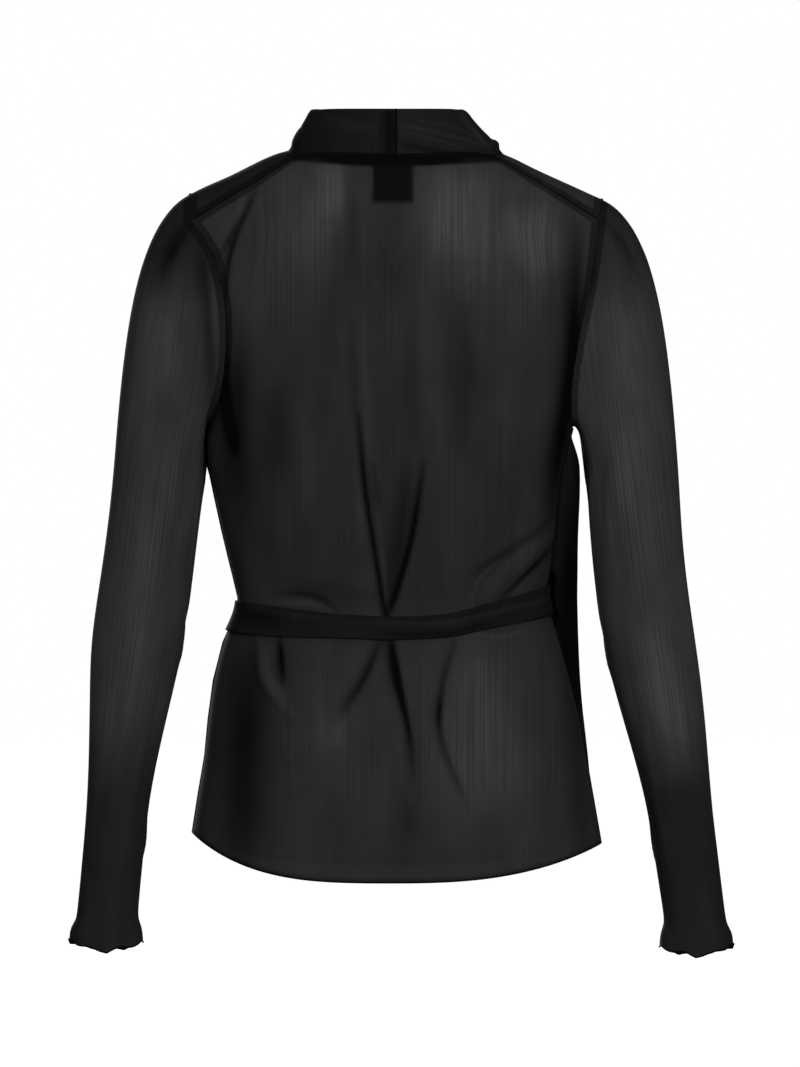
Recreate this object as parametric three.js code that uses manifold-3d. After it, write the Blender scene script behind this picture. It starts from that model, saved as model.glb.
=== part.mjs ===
// Wrap top in sheer stretch mesh, in its worn shape with nobody in it.
// Millimetres, +Z up, the front faces -Y and the wearer's left is +X.
// The origin is the middle of the neck base, level with the neck seam at the shoulders.
import * as THREE from "three";
import Module from "manifold-3d";
import { mergeVertices } from "three/addons/utils/BufferGeometryUtils.js";

const { lerp, smoothstep, degToRad, clamp } = THREE.MathUtils;

// Walls, gaps and layers
const clothWall = 1.2;
const bandWall = 2;
const tieWall = 1.6;
const labelWall = 1;
const labelGap = 0.8;
const seamGap = 0.3;
const overLift = 4.2;
const underLift = -1;
const tailUnderLift = 2.6;
const tailOverLift = 4.8;

// Main heights
const underarmZ = -228;
const underarmRow = 2;
const edgeStep = 0.04;
const turnedBack = 0.02;
const lowWaistZ = -410;
const backHemZ = -613;
const frontHemZ = -600;
const sideHemZ = { left: -571, right: -580 };
const hemRound = { left: 3.4, right: 2.6 };
const sideSeamY = { left: 6, right: 15 };
const collarTopZ = 44;
const bandWidth = 44;
const bandEndWidth = 24;
const bandEndZ = -362;

// Roundness of the sections and of the upper profiles
const sectionPower = 2.4;
const profilePower = 2.5;
const neckShare = 0.485;
const neckRidgeX = 91;
const shoulderX = { left: 174, right: 172 };
const ridgeX = 176;
const ridgeTipZ = -28.5;
const seamTipZ = -52;
const seamTurn = Math.PI / 3;
const swellTurn = degToRad(20);

// Half-widths to each side seam, the loose outer front on the wearer's right, and depths
const torso = [
  { z: -620, left: 178, right: 180, loose: 180, back: 106, front: 95 },
  { z: -578, left: 174, right: 174, loose: 175, back: 109, front: 97 },
  { z: -544, left: 169, right: 168, loose: 169, back: 111, front: 98 },
  { z: -510, left: 163, right: 162, loose: 163, back: 111, front: 97 },
  { z: -470, left: 159, right: 155, loose: 158, back: 107, front: 93 },
  { z: -436, left: 154, right: 146, loose: 157, back: 98, front: 89 },
  { z: -410, left: 147, right: 139, loose: 157, back: 87, front: 86 },
  { z: -390, left: 138, right: 133, loose: 157, back: 79, front: 84 },
  { z: -376, left: 134, right: 129, loose: 157, back: 77, front: 84 },
  { z: -360, left: 137, right: 129, loose: 157, back: 78, front: 87 },
  { z: -340, left: 142, right: 133, loose: 157, back: 80, front: 92 },
  { z: -306, left: 150, right: 136, loose: 157, back: 85, front: 102 },
  { z: -272, left: 157, right: 139, loose: 159, back: 90, front: 111 },
  { z: -250, left: 160, right: 143, loose: 156, back: 93, front: 113 },
  { z: -228, left: 160, right: 150, loose: 150, back: 95, front: 113 },
  { z: -190, left: 163, right: 157, loose: 157, back: 97, front: 108 },
  { z: -140, left: 168, right: 167, loose: 167, back: 98, front: 98 },
  { z: -90, left: 175, right: 176, loose: 176, back: 96, front: 88 },
  { z: 10, left: 190, right: 190, loose: 190, back: 94, front: 80 },
];

// Distance of the armhole seams from the middle
const backArmhole = [
  { z: -228, left: 160, right: 150 },
  { z: -214, left: 154, right: 149 },
  { z: -195, left: 148, right: 149 },
  { z: -160, left: 144, right: 154 },
  { z: -122, left: 145, right: 162 },
  { z: -100, left: 149, right: 166 },
  { z: -78, left: 156, right: 169 },
  { z: -52, left: 174, right: 172 },
];
const frontArmhole = [
  { z: -228, left: 160, right: 150 },
  { z: -214, left: 156, right: 149 },
  { z: -195, left: 152, right: 149 },
  { z: -150, left: 150, right: 151 },
  { z: -110, left: 155, right: 156 },
  { z: -70, left: 165, right: 165 },
  { z: -28.5, left: 176, right: 176 },
];

// Shoulder seam and, in front of it, the top of each shoulder: its height left and right, its depth
const shoulder = [
  { x: 84, seamZ: 3, seamY: 18, left: 9, right: 7, ridgeY: -4 },
  { x: 96, seamZ: -4.2, seamY: 20, left: 8, right: 4, ridgeY: -5 },
  { x: 114, seamZ: -15, seamY: 22.4, left: 1, right: -5, ridgeY: -7 },
  { x: 139, seamZ: -30, seamY: 24, left: -11.5, right: -16.5, ridgeY: -9 },
  { x: 163, seamZ: -45, seamY: 22, left: -22, right: -27.5, ridgeY: -10 },
  { x: 176, seamZ: -53, seamY: 20, left: -28.5, right: -33, ridgeY: -10 },
];

// Neck seam across the back panel
const neckline = [
  { x: 0, y: 48, z: 4 },
  { x: 30, y: 46, z: 4.5 },
  { x: 60, y: 36, z: 5.5 },
  { x: 76, y: 26, z: 4.6 },
  { x: 84.4, y: 18, z: 3 },
];

// Front edge of each front, from its own side of the neck across the middle and down to the hem
const frontEdge = [
  { z: -620, x: -122 },
  { z: -500, x: -116 },
  { z: -410, x: -106 },
  { z: -380, x: -100 },
  { z: -300, x: -66 },
  { z: -228, x: -28 },
  { z: -180, x: 1 },
  { z: -100, x: 46 },
  { z: -50, x: 72 },
  { z: -20, x: 84 },
  { z: 7, x: 91 },
];

// Largest folds of each panel, as lines in X and Z seen from straight ahead, with height and half-width
const backFolds = [
  { from: [33, -205], to: [13, -384], rise: -3.6, spread: 10 }, // above the tie, left arm of the V
  { from: [-24, -250], to: [1, -384], rise: -3.8, spread: 9 }, // above the tie, right arm of the V
  { from: [4, -270], to: [7, -372], rise: 2.4, spread: 9 }, // above the tie, crown of the V
  { from: [-124, -312], to: [-66, -380], rise: 3.2, spread: 9 }, // above the tie, towards the slit
  { from: [-112, -340], to: [-84, -376], rise: -2.6, spread: 8 }, // beside the slit
  { from: [104, -366], to: [50, -380], rise: -2.4, spread: 8 }, // above the tie, left arc
  { from: [9, -406], to: [-15, -524], rise: -4.2, spread: 10 }, // below the tie, main fold
  { from: [14, -410], to: [52, -478], rise: -3.2, spread: 9 }, // below the tie, left fold
  { from: [2, -430], to: [6, -520], rise: 2.6, spread: 11 }, // below the tie, crown
  { from: [-52, -404], to: [-34, -476], rise: -3.4, spread: 9 }, // below the tie, right fold
  { from: [-34, -476], to: [-57, -548], rise: -2.6, spread: 10 }, // lower right fold
  { from: [102, -404], to: [96, -452], rise: -3, spread: 10 }, // below the tie, far left
  { from: [120, -24], to: [143, -88], rise: -2.6, spread: 8 }, // left shoulder drag
  { from: [134, -50], to: [144, -120], rise: 2.2, spread: 8 }, // left armhole drag
];
const frontFolds = [
  { from: [92, -366], to: [-40, -268], rise: -3.4, spread: 10 }, // from the knot to the bust
  { from: [88, -378], to: [-62, -322], rise: 3, spread: 10 }, // from the knot to the middle
  { from: [84, -392], to: [-48, -372], rise: -2.8, spread: 9 }, // from the knot across
  { from: [70, -410], to: [22, -520], rise: -3.4, spread: 11 }, // below the knot, inner
  { from: [88, -420], to: [66, -540], rise: 2.8, spread: 11 }, // below the knot, outer
];

// The long tie round the back, by its turn about the wearer: 0 is the left side, 90 the middle
// of the back, 180 the slit in the right side seam and 224 the corner of the inner front
const tieCourse = [
  { turn: -28, middleZ: -385.5, width: 15, lift: 3.2, lean: 0 },
  { turn: -14, middleZ: -386, width: 22, lift: 3, lean: 0 },
  { turn: 8, middleZ: -387.5, width: 27, lift: 3, lean: 0 },
  { turn: 47, middleZ: -393, width: 24.5, lift: 3, lean: 0 },
  { turn: 69, middleZ: -396.5, width: 20.5, lift: 3, lean: 0 },
  { turn: 88, middleZ: -398, width: 19.5, lift: 3, lean: 0 },
  { turn: 107, middleZ: -396.5, width: 19.5, lift: 3, lean: 0 },
  { turn: 128, middleZ: -387, width: 21.5, lift: 3, lean: 0 },
  { turn: 150, middleZ: -379, width: 24.5, lift: 3, lean: 0 },
  { turn: 180, middleZ: -372, width: 25, lift: 3, lean: 0 },
  { turn: 193, middleZ: -370, width: 25, lift: 2.4, lean: 2 },
  { turn: 204, middleZ: -366, width: 23, lift: 0, lean: 8 },
  { turn: 214.4, middleZ: -356, width: 12, lift: -1, lean: 18.4 },
];

// Slit in the right side seam, how far the outer front stands off there and over what share of it
const slit = { top: -354, bottom: -390, ease: 9, standOff: 6.6, reach: 0.087 };

// Sleeves: distance of their outer and inner edges from the middle, middle and half-depth in Y
const armLeft = [
  { z: -664, outer: 277, inner: 215, middle: -41, depth: 33 },
  { z: -654, outer: 277, inner: 215.5, middle: -41, depth: 32 },
  { z: -645, outer: 272.5, inner: 219, middle: -41, depth: 29 },
  { z: -629, outer: 271, inner: 220, middle: -40, depth: 27.5 },
  { z: -612, outer: 269, inner: 218, middle: -38, depth: 28 },
  { z: -544, outer: 263, inner: 210, middle: -31, depth: 32 },
  { z: -476, outer: 261, inner: 195.5, middle: -22, depth: 37 },
  { z: -408, outer: 260, inner: 178.5, middle: -13, depth: 43 },
  { z: -340, outer: 249, inner: 171, middle: -6, depth: 44 },
  { z: -272, outer: 241, inner: 162, middle: -2, depth: 47 },
];
const armRight = [
  { z: -668, outer: 286, inner: 224, middle: -41, depth: 33 },
  { z: -658, outer: 286, inner: 224.5, middle: -41, depth: 32 },
  { z: -648, outer: 281.5, inner: 228, middle: -41, depth: 29 },
  { z: -632, outer: 279.5, inner: 227, middle: -40, depth: 27.5 },
  { z: -612, outer: 277, inner: 223.5, middle: -38, depth: 28 },
  { z: -544, outer: 268.5, inner: 212.5, middle: -31, depth: 32 },
  { z: -476, outer: 263.5, inner: 193, middle: -22, depth: 37 },
  { z: -408, outer: 255, inner: 174, middle: -13, depth: 43 },
  { z: -340, outer: 245, inner: 167, middle: -6, depth: 44 },
  { z: -272, outer: 241, inner: 161.5, middle: -2, depth: 47 },
];
const armTopZ = -272;
const armWidth = 40;
const cuff = { waves: 7, start: 0.6, height: 2.6, swing: 2.4, dip: 8, top: 24 };
const cuffUneven = { least: 0.7, times: 3, start: 1 };
const cap = {
  outerReach: 50,
  innerReach: 7,
  outerLead: 0.5,
  innerLead: 0.8,
  fall: 12,
  innerLift: 1,
  outerRise: 125,
  innerRise: 14,
  lean: 9,
};

// Soft folds of the sleeves, by their turn round the arm from the outside through the back
const sleeveFolds = [
  { name: "inside the elbow", turn: 170, z: -398, rise: -3, height: 12, spread: 55 },
  { name: "below the elbow", turn: 150, z: -430, rise: 2.4, height: 14, spread: 50 },
  { name: "front of the elbow", turn: 260, z: -385, rise: -3, height: 12, spread: 50 },
  { name: "above the wrist", turn: 200, z: -590, rise: 1.8, height: 16, spread: 60 },
];

// Knot at the wearer's left front, and the label
const knot = { turn: -31, z: -385, lift: 8.8, along: 12.5, out: 7.6, up: 14.5 };
const tailUnder = { topTurn: -27, endTurn: -23, topZ: -389, endZ: -572, width: 26 };
const tailShape = { topWidth: 9, sway: 1.2, swayRate: 9, topLift: 1.8, chord: 0.93 };
const tailOver = { topTurn: -33, endTurn: -35, topZ: -389, endZ: -560, width: 26 };
const label = { left: 20, right: -14.5, top: -5, bottom: -37 };

// Divisions of the grids
const backShoulderColumns = 8;
const backNeckColumns = 9;
const frontColumns = 16;
const hemRows = 5;
const bodyHeights = [-410, -399, -390, -381, -372, -354, -345, -315, -286, -257, -228];
const backTopRows = 11;
const frontTopRows = 14;
const overRidgeRows = 3;
const capSteps = [0, 0.06, 0.16, 0.3, 0.45, 0.6, 0.75, 0.88, 1];
const sleeveRows = 8;
const cuffRows = 4;

// Reads a column of a table at any value of its key, on a smooth curve through the rows
function read(table, key, value, column) {
  const last = table.length - 1;
  let row = 0;
  while (row < last - 1 && value > table[row + 1][key]) row += 1;
  const slope = (index) => {
    const before = table[Math.max(index - 1, 0)];
    const after = table[Math.min(index + 1, last)];
    return (after[column] - before[column]) / (after[key] - before[key]);
  };
  const low = table[row];
  const high = table[row + 1];
  const span = high[key] - low[key];
  const t = (value - low[key]) / span;
  const t2 = t * t;
  const t3 = t2 * t;
  return (
    low[column] * (2 * t3 - 3 * t2 + 1) +
    high[column] * (3 * t2 - 2 * t3) +
    slope(row) * span * (t3 - 2 * t2 + t) +
    slope(row + 1) * span * (t3 - t2)
  );
}

const vector = (x, y, z) => new THREE.Vector3(x, y, z);
const steps = (from, to, count) => Array.from({ length: count + 1 }, (_, k) => lerp(from, to, k / count));
const easedSteps = (from, to, count) =>
  Array.from({ length: count + 1 }, (_, k) => lerp(from, to, (1 - Math.cos((Math.PI * k) / count)) / 2));
const sideOf = (share) => (share >= 0 ? "left" : "right");
const bulge = (share) => Math.max(0, 1 - Math.abs(share) ** sectionPower) ** (1 / sectionPower);
const profile = (t, exponent) => Math.max(0, 1 - clamp(t, 0, 1) ** profilePower) ** exponent;

// Height of one fold line at a point of its panel
function foldHeight(folds, x, z) {
  let total = 0;
  for (const fold of folds) {
    const [fromX, fromZ] = fold.from;
    const alongX = fold.to[0] - fromX;
    const alongZ = fold.to[1] - fromZ;
    const lengthSquared = alongX ** 2 + alongZ ** 2;
    const share = ((x - fromX) * alongX + (z - fromZ) * alongZ) / lengthSquared;
    const across = Math.abs((x - fromX) * alongZ - (z - fromZ) * alongX) / Math.sqrt(lengthSquared);
    const ends = smoothstep(share, -0.15, 0.2) * (1 - smoothstep(share, 0.8, 1.15));
    total += fold.rise * ends * Math.exp(-((across / fold.spread) ** 2));
  }
  return total;
}

// Side seam depth at a share of the width
const seamDepth = (share) => lerp(sideSeamY.right, sideSeamY.left, (share + 1) / 2);

// Point of the torso section by its turn about the wearer, used below the underarm
function ringPoint(turn, z) {
  const share = Math.cos(turn);
  const half = read(torso, "z", z, sideOf(share));
  const behind = Math.sin(turn) >= 0;
  const depth = behind ? read(torso, "z", z, "back") : -read(torso, "z", z, "front");
  const seam = seamDepth(share);
  return vector(half * share, seam + (depth - seam) * bulge(share), z);
}

// Unit normal of a surface given as a function of two values. The armhole starts with a corner
// at the underarm, so a row there takes its slope from below, and the columns turn back at the
// armhole edge, so an edge point takes its slope from the panel's side.
function normalOf(surface, u, v) {
  const step = 0.002;
  const along = surface(u + step, v).sub(surface(u - step, v));
  if (along.length() < turnedBack) {
    const atEnd = u > 2 ? edgeStep : 0;
    along.copy(surface(u + edgeStep - atEnd, v)).sub(surface(u - atEnd, v));
  }
  const top = v <= underarmRow ? Math.min(v + step, underarmRow) : v + step;
  const up = surface(u, top).sub(surface(u, v - step));
  return along.cross(up).normalize();
}

// A surface moved along its own normal by a height that depends on the place
function raised(surface, outward, height) {
  return (u, v) => {
    const point = surface(u, v);
    const normal = normalOf(surface, u, v);
    return point.addScaledVector(normal, outward * height(point, u, v));
  };
}

// Back panel: u is the turn from the left side seam to the right, v counts hem, low waist,
// underarm and top as 0, 1, 2 and 3
function backBase(u, v) {
  const share = Math.cos(u);
  const side = sideOf(share);
  const gap = seamGap / 2;
  if (v <= 2) {
    const drop = sideHemZ[side] - backHemZ;
    const hem = backHemZ + drop * Math.abs(share) ** hemRound[side];
    const z = v <= 1 ? lerp(hem, lowWaistZ, v) : lerp(lowWaistZ, underarmZ, v - 1);
    const seam = seamDepth(share) + gap;
    const depth = read(torso, "z", z, "back");
    const turned = Math.sin(u) >= 0 ? 1 : -1;
    const x = read(torso, "z", z, side) * share;
    return vector(x, seam + turned * (depth - seam) * bulge(share), z);
  }
  const t = v - 2;
  const edgeZ = lerp(underarmZ, seamTipZ, t);
  const x = read(backArmhole, "z", edgeZ, side) * share;
  const topX = Math.abs(share) * shoulderX[side];
  const onShoulder = Math.abs(share) > neckShare;
  const topY = onShoulder ? read(shoulder, "x", topX, "seamY") : read(neckline, "x", topX, "y");
  const topZ = onShoulder ? read(shoulder, "x", topX, "seamZ") : read(neckline, "x", topX, "z");
  const z = lerp(underarmZ, topZ - gap, t);
  const wide = clamp(x / read(torso, "z", z, side), -1, 1);
  const seam = seamDepth(share) + gap;
  const turned = t < 0.0005 && Math.sin(u) < 0 ? -1 : 1;
  const depth = seam + turned * (read(torso, "z", z, "back") - seam) * bulge(wide);
  const exponent = lerp(0.62, 0.8, smoothstep(Math.abs(share), 0.4, 0.75));
  const end = topY + gap;
  return vector(x, end + (depth - end) * profile(t, exponent), z);
}

const backSurface = raised(backBase, 1, (point) => foldHeight(backFolds, point.x, point.z));

// Depth of the front at a place, without its layer
function frontDepth(x, z, share) {
  const depth = -read(torso, "z", z, "front");
  const seam = seamDepth(x / 170) - seamGap / 2;
  const full = seam + (depth - seam) * bulge(share);
  if (z <= underarmZ) return full;
  const shoulderAt = clamp(Math.abs(x), 84, ridgeX);
  const ridgeZ = read(shoulder, "x", shoulderAt, sideOf(x));
  const ridgeY = read(shoulder, "x", shoulderAt, "ridgeY");
  return ridgeY + (full - ridgeY) * profile((z - underarmZ) / (ridgeZ - underarmZ), 0.5);
}

// How far the two fronts part: the layer's lift grows away from the side seam and the shoulder
const layerShare = (share, z) => smoothstep(1 - share, 0, 0.35) * smoothstep(-z, 12, 60);

// Front panel of one layer: u is the turn from its own side seam over the share of the way to
// its front edge, v counts hem, low waist, underarm, ridge and shoulder seam as 0 to 4
function frontBase(mirror) {
  const own = mirror > 0 ? "left" : "right";
  const other = mirror > 0 ? "right" : "left";
  return (u, v) => {
    const gap = seamGap / 2;
    let edgeZ = lerp(frontHemZ, lowWaistZ, v);
    if (v > 1) edgeZ = lerp(lowWaistZ, underarmZ, v - 1);
    if (v > 2) edgeZ = lerp(underarmZ, 7, v - 2);
    edgeZ = Math.min(edgeZ, 7);
    const edgeX = read(frontEdge, "z", edgeZ, "x");
    let armholeX = ridgeX;
    if (v > 2 && v <= 3) armholeX = read(frontArmhole, "z", lerp(underarmZ, ridgeTipZ, v - 2), own);
    if (v > 3) armholeX = lerp(ridgeX, shoulderX[own], Math.min(v - 3, 1));
    const ownHalf = v <= 2 ? read(torso, "z", edgeZ, own) : armholeX;
    const otherHalf = read(torso, "z", edgeZ, other);
    let edgeShare = edgeX > 0 ? edgeX / ownHalf : edgeX / otherHalf;
    if (v > 3) edgeShare = lerp(neckRidgeX / ridgeX, neckShare, v - 3);
    const turn = u * Math.acos(edgeShare);
    const share = Math.cos(turn);
    const ahead = turn >= 0 ? 1 : -1;
    const side = share >= 0 ? own : other;

    if (v <= 2) {
      const drop = sideHemZ[side] - frontHemZ;
      const hem = frontHemZ + drop * Math.abs(share) ** hemRound[side];
      const z = v <= 1 ? lerp(hem, lowWaistZ, v) : lerp(lowWaistZ, underarmZ, v - 1);
      let half = read(torso, "z", z, side);
      if (own === "right" && share > 0) {
        const swell = read(torso, "z", z, "loose") / Math.cos(swellTurn) - half;
        const letOut = smoothstep(-z, 228, 250) * (1 - smoothstep(-z, 500, 560));
        half += swell * letOut * smoothstep(turn, 0, swellTurn);
      }
      const depth = -read(torso, "z", z, "front");
      const seam = seamDepth(mirror * share) - gap;
      return vector(mirror * half * share, seam + ahead * (depth - seam) * bulge(share), z);
    }
    if (v <= 3) {
      const t = v - 2;
      const x = (share >= 0 ? armholeX : otherHalf) * share;
      const place = clamp(Math.abs(x), 84, ridgeX);
      const ridgeZ = read(shoulder, "x", place, side);
      const ridgeY = read(shoulder, "x", place, "ridgeY");
      const z = lerp(underarmZ, ridgeZ, t);
      const half = read(torso, "z", z, side);
      const seam = seamDepth(mirror * share) - gap;
      const depth = -read(torso, "z", z, "front");
      const turned = t < 0.0005 ? ahead : 1;
      const full = seam + turned * (depth - seam) * bulge(clamp(x / half, -1, 1));
      return vector(mirror * x, ridgeY + (full - ridgeY) * profile(t, 0.5), z);
    }
    const bend = (v - 3) * seamTurn;
    const x = armholeX * share;
    const place = clamp(Math.abs(x), 84, ridgeX);
    const ridgeZ = read(shoulder, "x", place, side);
    const ridgeY = read(shoulder, "x", place, "ridgeY");
    const seamY = read(shoulder, "x", place, "seamY") - gap;
    const seamZ = read(shoulder, "x", place, "seamZ") + gap;
    const y = lerp(ridgeY, seamY, Math.sin(bend) / Math.sin(seamTurn));
    const z = lerp(ridgeZ, seamZ, (1 - Math.cos(bend)) / (1 - Math.cos(seamTurn)));
    return vector(mirror * x, y, z);
  };
}

// Front surface with its layer, its folds and, on the outer front, the lifted edge of the slit
function frontSurface(mirror, layerLift) {
  const outer = mirror < 0;
  return raised(frontBase(mirror), -mirror, (point, u, v) => {
    const half = read(torso, "z", Math.min(point.z, 10), sideOf(point.x));
    const share = clamp((mirror * point.x) / half, -1, 1);
    let height = layerLift * layerShare(share, point.z);
    height += foldHeight(frontFolds, point.x, point.z) * smoothstep(1 - Math.abs(share), 0, 0.2);
    if (outer && v < 2) {
      const aboveEnd = smoothstep(point.z, slit.bottom - slit.ease, slit.bottom);
      const belowTop = 1 - smoothstep(point.z, slit.top, slit.top + slit.ease);
      height += slit.standOff * aboveEnd * belowTop * (1 - smoothstep(u, 0, slit.reach));
    }
    return height;
  });
}

// A wall from a grid of outer points and a grid of inner points, each a list of rows
function wallGeometry(outer, inner, outward, closed) {
  const rows = outer.length;
  const columns = outer[0].length;
  const positions = [];
  for (const grid of [outer, inner]) {
    for (const row of grid) {
      for (const point of row) positions.push(point.x, point.y, point.z);
    }
  }
  const faces = [];
  const at = (layer, i, j) => layer * rows * columns + j * columns + (i % columns);
  const quad = (a, b, c, d) => faces.push(a, b, c, a, c, d);
  const lastColumn = closed ? columns : columns - 1;
  for (let j = 0; j < rows - 1; j += 1) {
    for (let i = 0; i < lastColumn; i += 1) {
      quad(at(0, i, j), at(0, i + 1, j), at(0, i + 1, j + 1), at(0, i, j + 1));
      quad(at(1, i, j), at(1, i, j + 1), at(1, i + 1, j + 1), at(1, i + 1, j));
    }
  }
  for (let i = 0; i < lastColumn; i += 1) {
    quad(at(1, i, 0), at(1, i + 1, 0), at(0, i + 1, 0), at(0, i, 0));
    quad(at(0, i, rows - 1), at(0, i + 1, rows - 1), at(1, i + 1, rows - 1), at(1, i, rows - 1));
  }
  for (let j = 0; j < rows - 1 && !closed; j += 1) {
    quad(at(0, 0, j), at(0, 0, j + 1), at(1, 0, j + 1), at(1, 0, j));
    quad(at(1, lastColumn, j), at(1, lastColumn, j + 1), at(0, lastColumn, j + 1), at(0, lastColumn, j));
  }
  if (outward < 0) {
    for (let k = 0; k < faces.length; k += 3) [faces[k], faces[k + 1]] = [faces[k + 1], faces[k]];
  }
  const geometry = new THREE.BufferGeometry();
  geometry.setAttribute("position", new THREE.Float32BufferAttribute(positions, 3));
  geometry.setIndex(faces);
  geometry.computeVertexNormals();
  return geometry;
}

// Outer and inner grids of a panel, with the wall square to its surface
function panelGrids(surface, us, vs, outward, wall) {
  const outer = vs.map((v) => us.map((u) => surface(u, v)));
  const inner = vs.map((v, j) =>
    us.map((u, i) => outer[j][i].clone().addScaledVector(normalOf(surface, u, v), -outward * wall)),
  );
  return { outer, inner };
}

// Inner grid of a wall whose outer points are already known
function innerGrid(outer, outward, wall, closed) {
  const rows = outer.length;
  const columns = outer[0].length;
  const wrap = (i) => (closed ? (i + columns) % columns : clamp(i, 0, columns - 1));
  return outer.map((row, j) =>
    row.map((point, i) => {
      const along = row[wrap(i + 1)].clone().sub(row[wrap(i - 1)]);
      const up = outer[Math.min(j + 1, rows - 1)][i].clone().sub(outer[Math.max(j - 1, 0)][i]);
      const normal = along.cross(up).normalize();
      return point.clone().addScaledVector(normal, -outward * wall);
    }),
  );
}

const part = new THREE.Group();

function addPiece(name, geometry, finish) {
  const mesh = new THREE.Mesh(geometry, finish);
  mesh.name = name;
  part.add(mesh);
  return mesh;
}

const sheerMesh = new THREE.MeshStandardMaterial({ color: "#1b1b1d", roughness: 0.82, metalness: 0 });
const doubledMesh = new THREE.MeshStandardMaterial({ color: "#101012", roughness: 0.85, metalness: 0 });
const wovenLabel = new THREE.MeshStandardMaterial({ color: "#0b0b0c", roughness: 0.7, metalness: 0 });

// Rows and columns of the body panels
const neckTurn = Math.acos(neckShare);
const backColumns = [
  ...steps(0, neckTurn, backShoulderColumns),
  ...steps(neckTurn, Math.PI - neckTurn, backNeckColumns).slice(1),
  ...steps(Math.PI - neckTurn, Math.PI, backShoulderColumns).slice(1),
];
const bodyRows = bodyHeights.map((z) => 1 + (z - lowWaistZ) / (underarmZ - lowWaistZ));
const lowerRows = [...steps(0, 1, hemRows).slice(0, -1), ...bodyRows];
const backRows = [...lowerRows, ...easedSteps(2, 3, backTopRows).slice(1)];
const frontRows = [
  ...lowerRows,
  ...easedSteps(2, 3, frontTopRows).slice(1),
  ...steps(3, 4, overRidgeRows).slice(1),
];

// Back and fronts
const back = panelGrids(backSurface, backColumns, backRows, 1, clothWall);
addPiece("back", wallGeometry(back.outer, back.inner, 1, false), sheerMesh);

const fronts = {
  left: { mirror: 1, lift: underLift, name: "front_under" },
  right: { mirror: -1, lift: overLift, name: "front_over" },
};
for (const front of Object.values(fronts)) {
  front.surface = frontSurface(front.mirror, front.lift);
  const grids = panelGrids(front.surface, steps(0, 1, frontColumns), frontRows, -front.mirror, clothWall);
  Object.assign(front, grids);
  addPiece(front.name, wallGeometry(front.outer, front.inner, -front.mirror, false), sheerMesh);
}

// Armhole of one side as two closed loops of points, outer and inner: ridge, shoulder seam,
// down the back, underarm and up the front
function armholeLoops(side) {
  const first = lowerRows.length - 1;
  const backColumn = side === "left" ? 0 : backColumns.length - 1;
  const front = fronts[side];
  const ridgeRow = first + frontTopRows;
  const meeting = (a, b) => a.clone().add(b).multiplyScalar(0.5);
  const loops = {};
  for (const face of ["outer", "inner"]) {
    const behind = back[face].map((row) => row[backColumn]).slice(first);
    const ahead = front[face].map((row) => row[0]);
    const overRidge = ahead.slice(ridgeRow).map((point) => point.clone());
    overRidge[overRidge.length - 1] = meeting(overRidge[overRidge.length - 1], behind[behind.length - 1]);
    const down = behind.slice(0, -1).reverse().map((point) => point.clone());
    down[down.length - 1] = meeting(behind[0], ahead[first]);
    const up = ahead.slice(first + 1, ridgeRow).map((point) => point.clone());
    loops[face] = [...overRidge, ...down, ...up];
  }
  return loops;
}

// First ring of a sleeve: the armhole edge moved off its panels by the seam gap
function sleeveTop(side) {
  const { outer, inner } = armholeLoops(side);
  const count = outer.length;
  const sideways = side === "left" ? 1 : -1;
  const away = outer.map((point, k) => {
    const along = outer[(k + 1) % count].clone().sub(outer[(k - 1 + count) % count]);
    const through = point.clone().sub(inner[k]);
    const direction = through.cross(along).normalize();
    const towardsSleeve = direction.x * sideways + direction.z * 0.5;
    return towardsSleeve < 0 ? direction.negate() : direction;
  });
  const shift = (points) => points.map((point, k) => point.clone().addScaledVector(away[k], seamGap));
  return { outer: shift(outer), inner: shift(inner), away };
}

function armPoint(table, side, turn, z) {
  const outer = read(table, "z", z, "outer");
  const inner = read(table, "z", z, "inner");
  const middleX = (outer + inner) / 2;
  let reach = 1;
  for (const fold of sleeveFolds) {
    const aroundArm = Math.atan2(Math.sin(turn - degToRad(fold.turn)), Math.cos(turn - degToRad(fold.turn)));
    const fade = Math.exp(-((aroundArm / degToRad(fold.spread)) ** 2) - ((z - fold.z) / fold.height) ** 2);
    reach += (fold.rise * fade) / armWidth;
  }
  const x = middleX + (outer - middleX) * reach * Math.cos(turn);
  const y = read(table, "z", z, "middle") + read(table, "z", z, "depth") * reach * Math.sin(turn);
  return vector((side === "left" ? 1 : -1) * x, y, z);
}

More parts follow.
